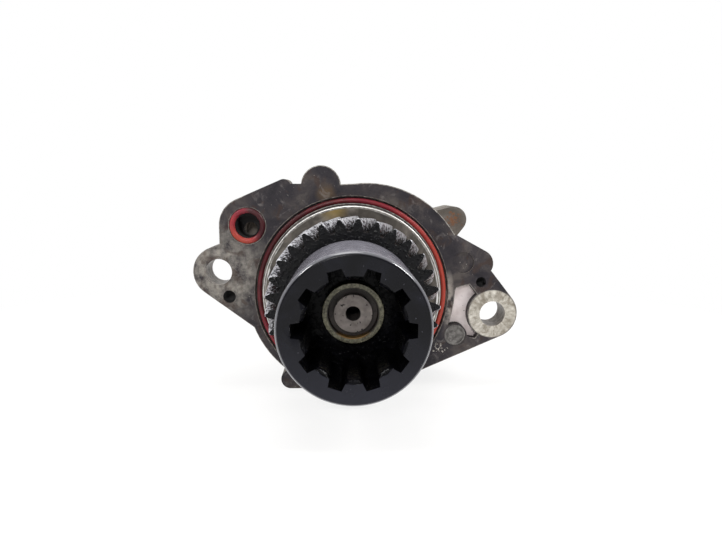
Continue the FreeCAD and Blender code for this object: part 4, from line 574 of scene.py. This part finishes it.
def only(piece):
    """Select one object and nothing else."""
    bpy.ops.object.select_all(action="DESELECT")
    piece.select_set(True)
    bpy.context.view_layer.objects.active = piece


def edges_with_room(piece, edge, room):
    """Mark the outward sharp edges that have room for a rounding, for the bevel to find."""
    shape = bmesh.new()
    shape.from_mesh(piece.data)
    weight = shape.edges.layers.float.new("bevel_weight_edge")
    sharp = [line for line in shape.edges if abs(line.calc_face_angle(0.0)) > SHARP_EDGE]
    tight = {corner for line in sharp if line.calc_length() < room * edge for corner in line.verts}
    for line in sharp:
        if line.calc_face_angle_signed(0.0) > 0 and not tight.intersection(line.verts):
            line[weight] = 1.0
    shape.to_mesh(piece.data)
    shape.free()


def rounded_copy(part, name, edge, materials, choose=None, room=2.5, worn=None):
    """Copy a part of the model, paint it, join its triangles into faces and round its outward edges."""
    piece = bpy.data.objects.new(name, frame["nodes"][part].data.copy())
    bpy.context.scene.collection.objects.link(piece)
    piece.data.materials.clear()
    for material in materials:
        piece.data.materials.append(material)
    for face in piece.data.polygons:
        finish = choose(face) if choose else materials[0]
        face.material_index = materials.index(finish)
    only(piece)
    bpy.ops.object.mode_set(mode="EDIT")
    bpy.ops.mesh.select_all(action="SELECT")
    bpy.ops.mesh.remove_doubles(threshold=SAME_POINT)
    bpy.ops.mesh.dissolve_limited(angle_limit=SAME_PLANE, delimit={"MATERIAL"})
    bpy.ops.object.mode_set(mode="OBJECT")
    edges_with_room(piece, edge, room)
    rounding = piece.modifiers.new("rounding", "BEVEL")
    rounding.width = edge
    rounding.segments = 2
    rounding.limit_method = "WEIGHT"
    rounding.use_clamp_overlap = False
    rounding.miter_outer = "MITER_ARC"
    # The rounded faces take the worn edge colour, partly a painted highlight
    if worn:
        rounding.material = materials.index(worn)
    bpy.ops.object.modifier_apply(modifier=rounding.name)
    bpy.ops.object.shade_smooth_by_angle(angle=SMOOTH_EDGE)
    shading = piece.modifiers.new("flat faces stay flat", "WEIGHTED_NORMAL")
    shading.keep_sharp = True
    bpy.ops.object.modifier_apply(modifier=shading.name)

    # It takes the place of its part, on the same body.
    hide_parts(part)
    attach(piece, BODIES[part])


def housing_finish(face):
    """Tell casting, spigot, pocket floor, lug bores and the rear of the casting apart."""
    centre, normal = face.center, face.normal
    radius = math.hypot(centre.x, centre.z)
    if radius < SPIGOT_RADIUS + NEAR and centre.y < -NEAR:
        return SPIGOT
    if radius < RECESS_RADIUS + NEAR and centre.y < RECESS_FLOOR + NEAR:
        return SPIGOT
    in_pocket = POCKET_LEFT < centre.x < POCKET_RIGHT and POCKET_LOW < centre.z < POCKET_HIGH
    if in_pocket and abs(centre.y - POCKET_DEPTH) < NEAR and normal.y < -LEVEL:
        return POCKET
    for hole in (LEFT_LUG, RIGHT_LUG):
        if math.hypot(centre.x - hole[0], centre.z - hole[2]) < LUG_BORE + NEAR:
            return BORE
    for hole, reach in ((OIL_PORT, 7.8 * MM), (LEFT_PIN, 3 * MM), (RIGHT_PIN, 2.5 * MM)):
        if math.hypot(centre.x - hole[0], centre.z - hole[2]) < reach and centre.y < FLANGE_BACK:
            return CASTING
    if in_pocket and centre.y < POCKET_DEPTH + NEAR:
        return CASTING
    side_wall = abs(normal.y) < UPRIGHT and radius > RING_CLEARANCE and centre.y > 0
    if side_wall or centre.y > FLANGE_BACK - 0.5 * MM:
        return REAR_CASTING
    return CASTING


def hub_finish(face):
    """Tell the oily socket of the hub from its blackened outside."""
    radius = math.hypot(face.center.x, face.center.z)
    in_socket = radius < SOCKET_ROOT + 0.2 * MM and face.center.y > HUB_FRONT + NEAR
    return SOCKET_OIL if in_socket else HUB


def gear_finish(face):
    """Tell the oily ends of the gear from its ground flanks."""
    return OIL if abs(face.normal.y) > NEARLY_LEVEL else FLANK


rounded_copy("pump_housing", "housing_casting", 0.4 * MM,
             [CASTING, SPIGOT, POCKET, REAR_CASTING, BORE, WORN_EDGE_AND_HIGHLIGHT], housing_finish, worn=WORN_EDGE_AND_HIGHLIGHT)
rounded_copy("rear_cover", "cover_casting", 0.4 * MM, [COVER_CASTING, WORN_EDGE_AND_HIGHLIGHT], worn=WORN_EDGE_AND_HIGHLIGHT)
rounded_copy("spline_hub", "hub_steel", 0.4 * MM, [HUB, SOCKET_OIL], hub_finish)
rounded_copy("driven_gear", "gear_steel", 0.12 * MM, [OIL, FLANK], gear_finish)
rounded_copy("drive_shaft", "shaft_steel", 0.15 * MM, [SHAFT_END])
rounded_copy("locking_collar", "collar_steel", 0.25 * MM, [COLLAR], room=1.5)
rounded_copy("gallery_plug", "cup_plug", 0.2 * MM, [PLUG], room=1.5)
rounded_copy("cover_bolts", "flanged_bolts", 0.3 * MM, [ZINC], room=1.5)
rounded_copy("vacuum_union", "hose_union", 0.2 * MM, [ZINC])
rounded_copy("bearing_circlip", "circlip_wire", 0.15 * MM, [SPRING])


# Floor, lights and camera

def white_floor():
    """Plain white floor, seen as paper white, that keeps a faint shadow near the pump."""
    m = blank_material("white_floor")
    direct = node(m, "LightPath", output="Is Camera Ray")
    mirrored = node(m, "LightPath", output="Is Glossy Ray")
    through = node(m, "LightPath", output="Is Transmission Ray")
    seen = node(m, "Math", {0: direct, 1: mirrored}, operation="MAXIMUM")
    seen = node(m, "Math", {0: seen, 1: through}, operation="MAXIMUM")
    place = node(m, "TexCoord", output="Object")
    away = node(m, "VectorMath", {0: place}, "Value", operation="LENGTH")
    share = node(m, "MapRange", {"Value": away, "From Min": 0.12, "From Max": 0.30, "To Min": 0.8,
                                 "To Max": 1.0})
    share = node(m, "Math", {0: seen, 1: share}, operation="MULTIPLY")
    lit = node(m, "BsdfDiffuse", {"Color": linear("#f8f6f3")})
    paper = node(m, "Emission", {"Color": linear("#ffffff"), "Strength": 1.0})
    shader = node(m, "MixShader", {0: share, 1: lit, 2: paper})
    node(m, "OutputMaterial", {"Surface": shader})
    return m


FLOOR_SIZE = 6.0
FLOOR_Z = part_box("pump_housing")[0].z
bpy.ops.mesh.primitive_plane_add(size=FLOOR_SIZE, location=(0, 0, FLOOR_Z))
floor = bpy.context.object
floor.name = "floor"
bpy.ops.object.transform_apply(location=True)
floor.data.materials.append(white_floor())

# The room is bright above and behind the pump, and dimmer in front of it.
BRIGHT_SIDE = (0.0, 0.6, 0.8)
world = bpy.context.scene.world or bpy.data.worlds.new("studio")
bpy.context.scene.world = world
world.use_nodes = True
world.node_tree.nodes.clear()
heading = node(world, "TexCoord", output="Generated")
heading = node(world, "VectorMath", {0: heading, 1: BRIGHT_SIDE}, "Value", operation="DOT_PRODUCT")
level = node(world, "MapRange", {"Value": heading, "From Min": -0.4, "From Max": 0.7, "To Min": 0.30,
                                 "To Max": 0.95})
camera_ray = node(world, "LightPath", output="Is Camera Ray")
clear_ray = node(world, "LightPath", output="Is Transmission Ray")
seen = node(world, "Math", {0: camera_ray, 1: clear_ray}, operation="MAXIMUM")
room = node(world, "Background", {"Color": linear("#ffffff"), "Strength": level})
paper = node(world, "Background", {"Color": linear("#ffffff"), "Strength": 1.0})
sky = node(world, "MixShader", {0: seen, 1: room, 2: paper})
node(world, "OutputWorld", {"Surface": sky})


def softbox(name, location, target, width, height, power):
    """Hang an oblong area light that faces a point."""
    light = bpy.data.lights.new(name, "AREA")
    light.shape = "RECTANGLE"
    light.size = width
    light.size_y = height
    light.energy = power
    lamp = bpy.data.objects.new(name, light)
    bpy.context.scene.collection.objects.link(lamp)
    lamp.location = location
    towards = [target[axis] - location[axis] for axis in range(3)]
    flat = math.hypot(towards[0], towards[1])
    lamp.rotation_euler = (math.atan2(flat, -towards[2]), 0, math.atan2(towards[1], towards[0]) - math.pi / 2)


softbox("front", (-0.15, -0.85, 0.42), (0, -0.02, 0), width=0.12, height=0.12, power=2.4)
softbox("upper_right", (0.62, -0.205, 0.55), (0, -0.06, 0), width=0.08, height=0.32, power=3.6)
softbox("upper_left", (-0.60, -0.21, 0.57), (0, -0.06, 0), width=0.06, height=0.20, power=1.8)
softbox("overhead", (-0.10, -0.05, 0.90), (0, 0, 0), width=0.4, height=0.4, power=3.0)

# The camera stands where the ellipses of hub, gear and spigot put it in the photograph.
IMAGE_WIDTH = 722
FOCAL_PIXELS = 541.4
DOWN, SIDEWAYS, ROLL = 8.73, 1.62, 0.3
EYE = (-2.79 * MM, -226.97 * MM, 44.46 * MM)
camera = bpy.data.cameras.new("camera")
camera.sensor_width = 36.0
camera.lens = FOCAL_PIXELS / IMAGE_WIDTH * camera.sensor_width
camera.clip_start = 0.01
eye = bpy.data.objects.new("camera", camera)
bpy.context.scene.collection.objects.link(eye)
eye.location = EYE
eye.rotation_euler = (math.radians(90 - DOWN), math.radians(-ROLL), math.radians(-SIDEWAYS))
bpy.context.scene.camera = eye
bpy.context.scene.view_settings.view_transform = "Standard"
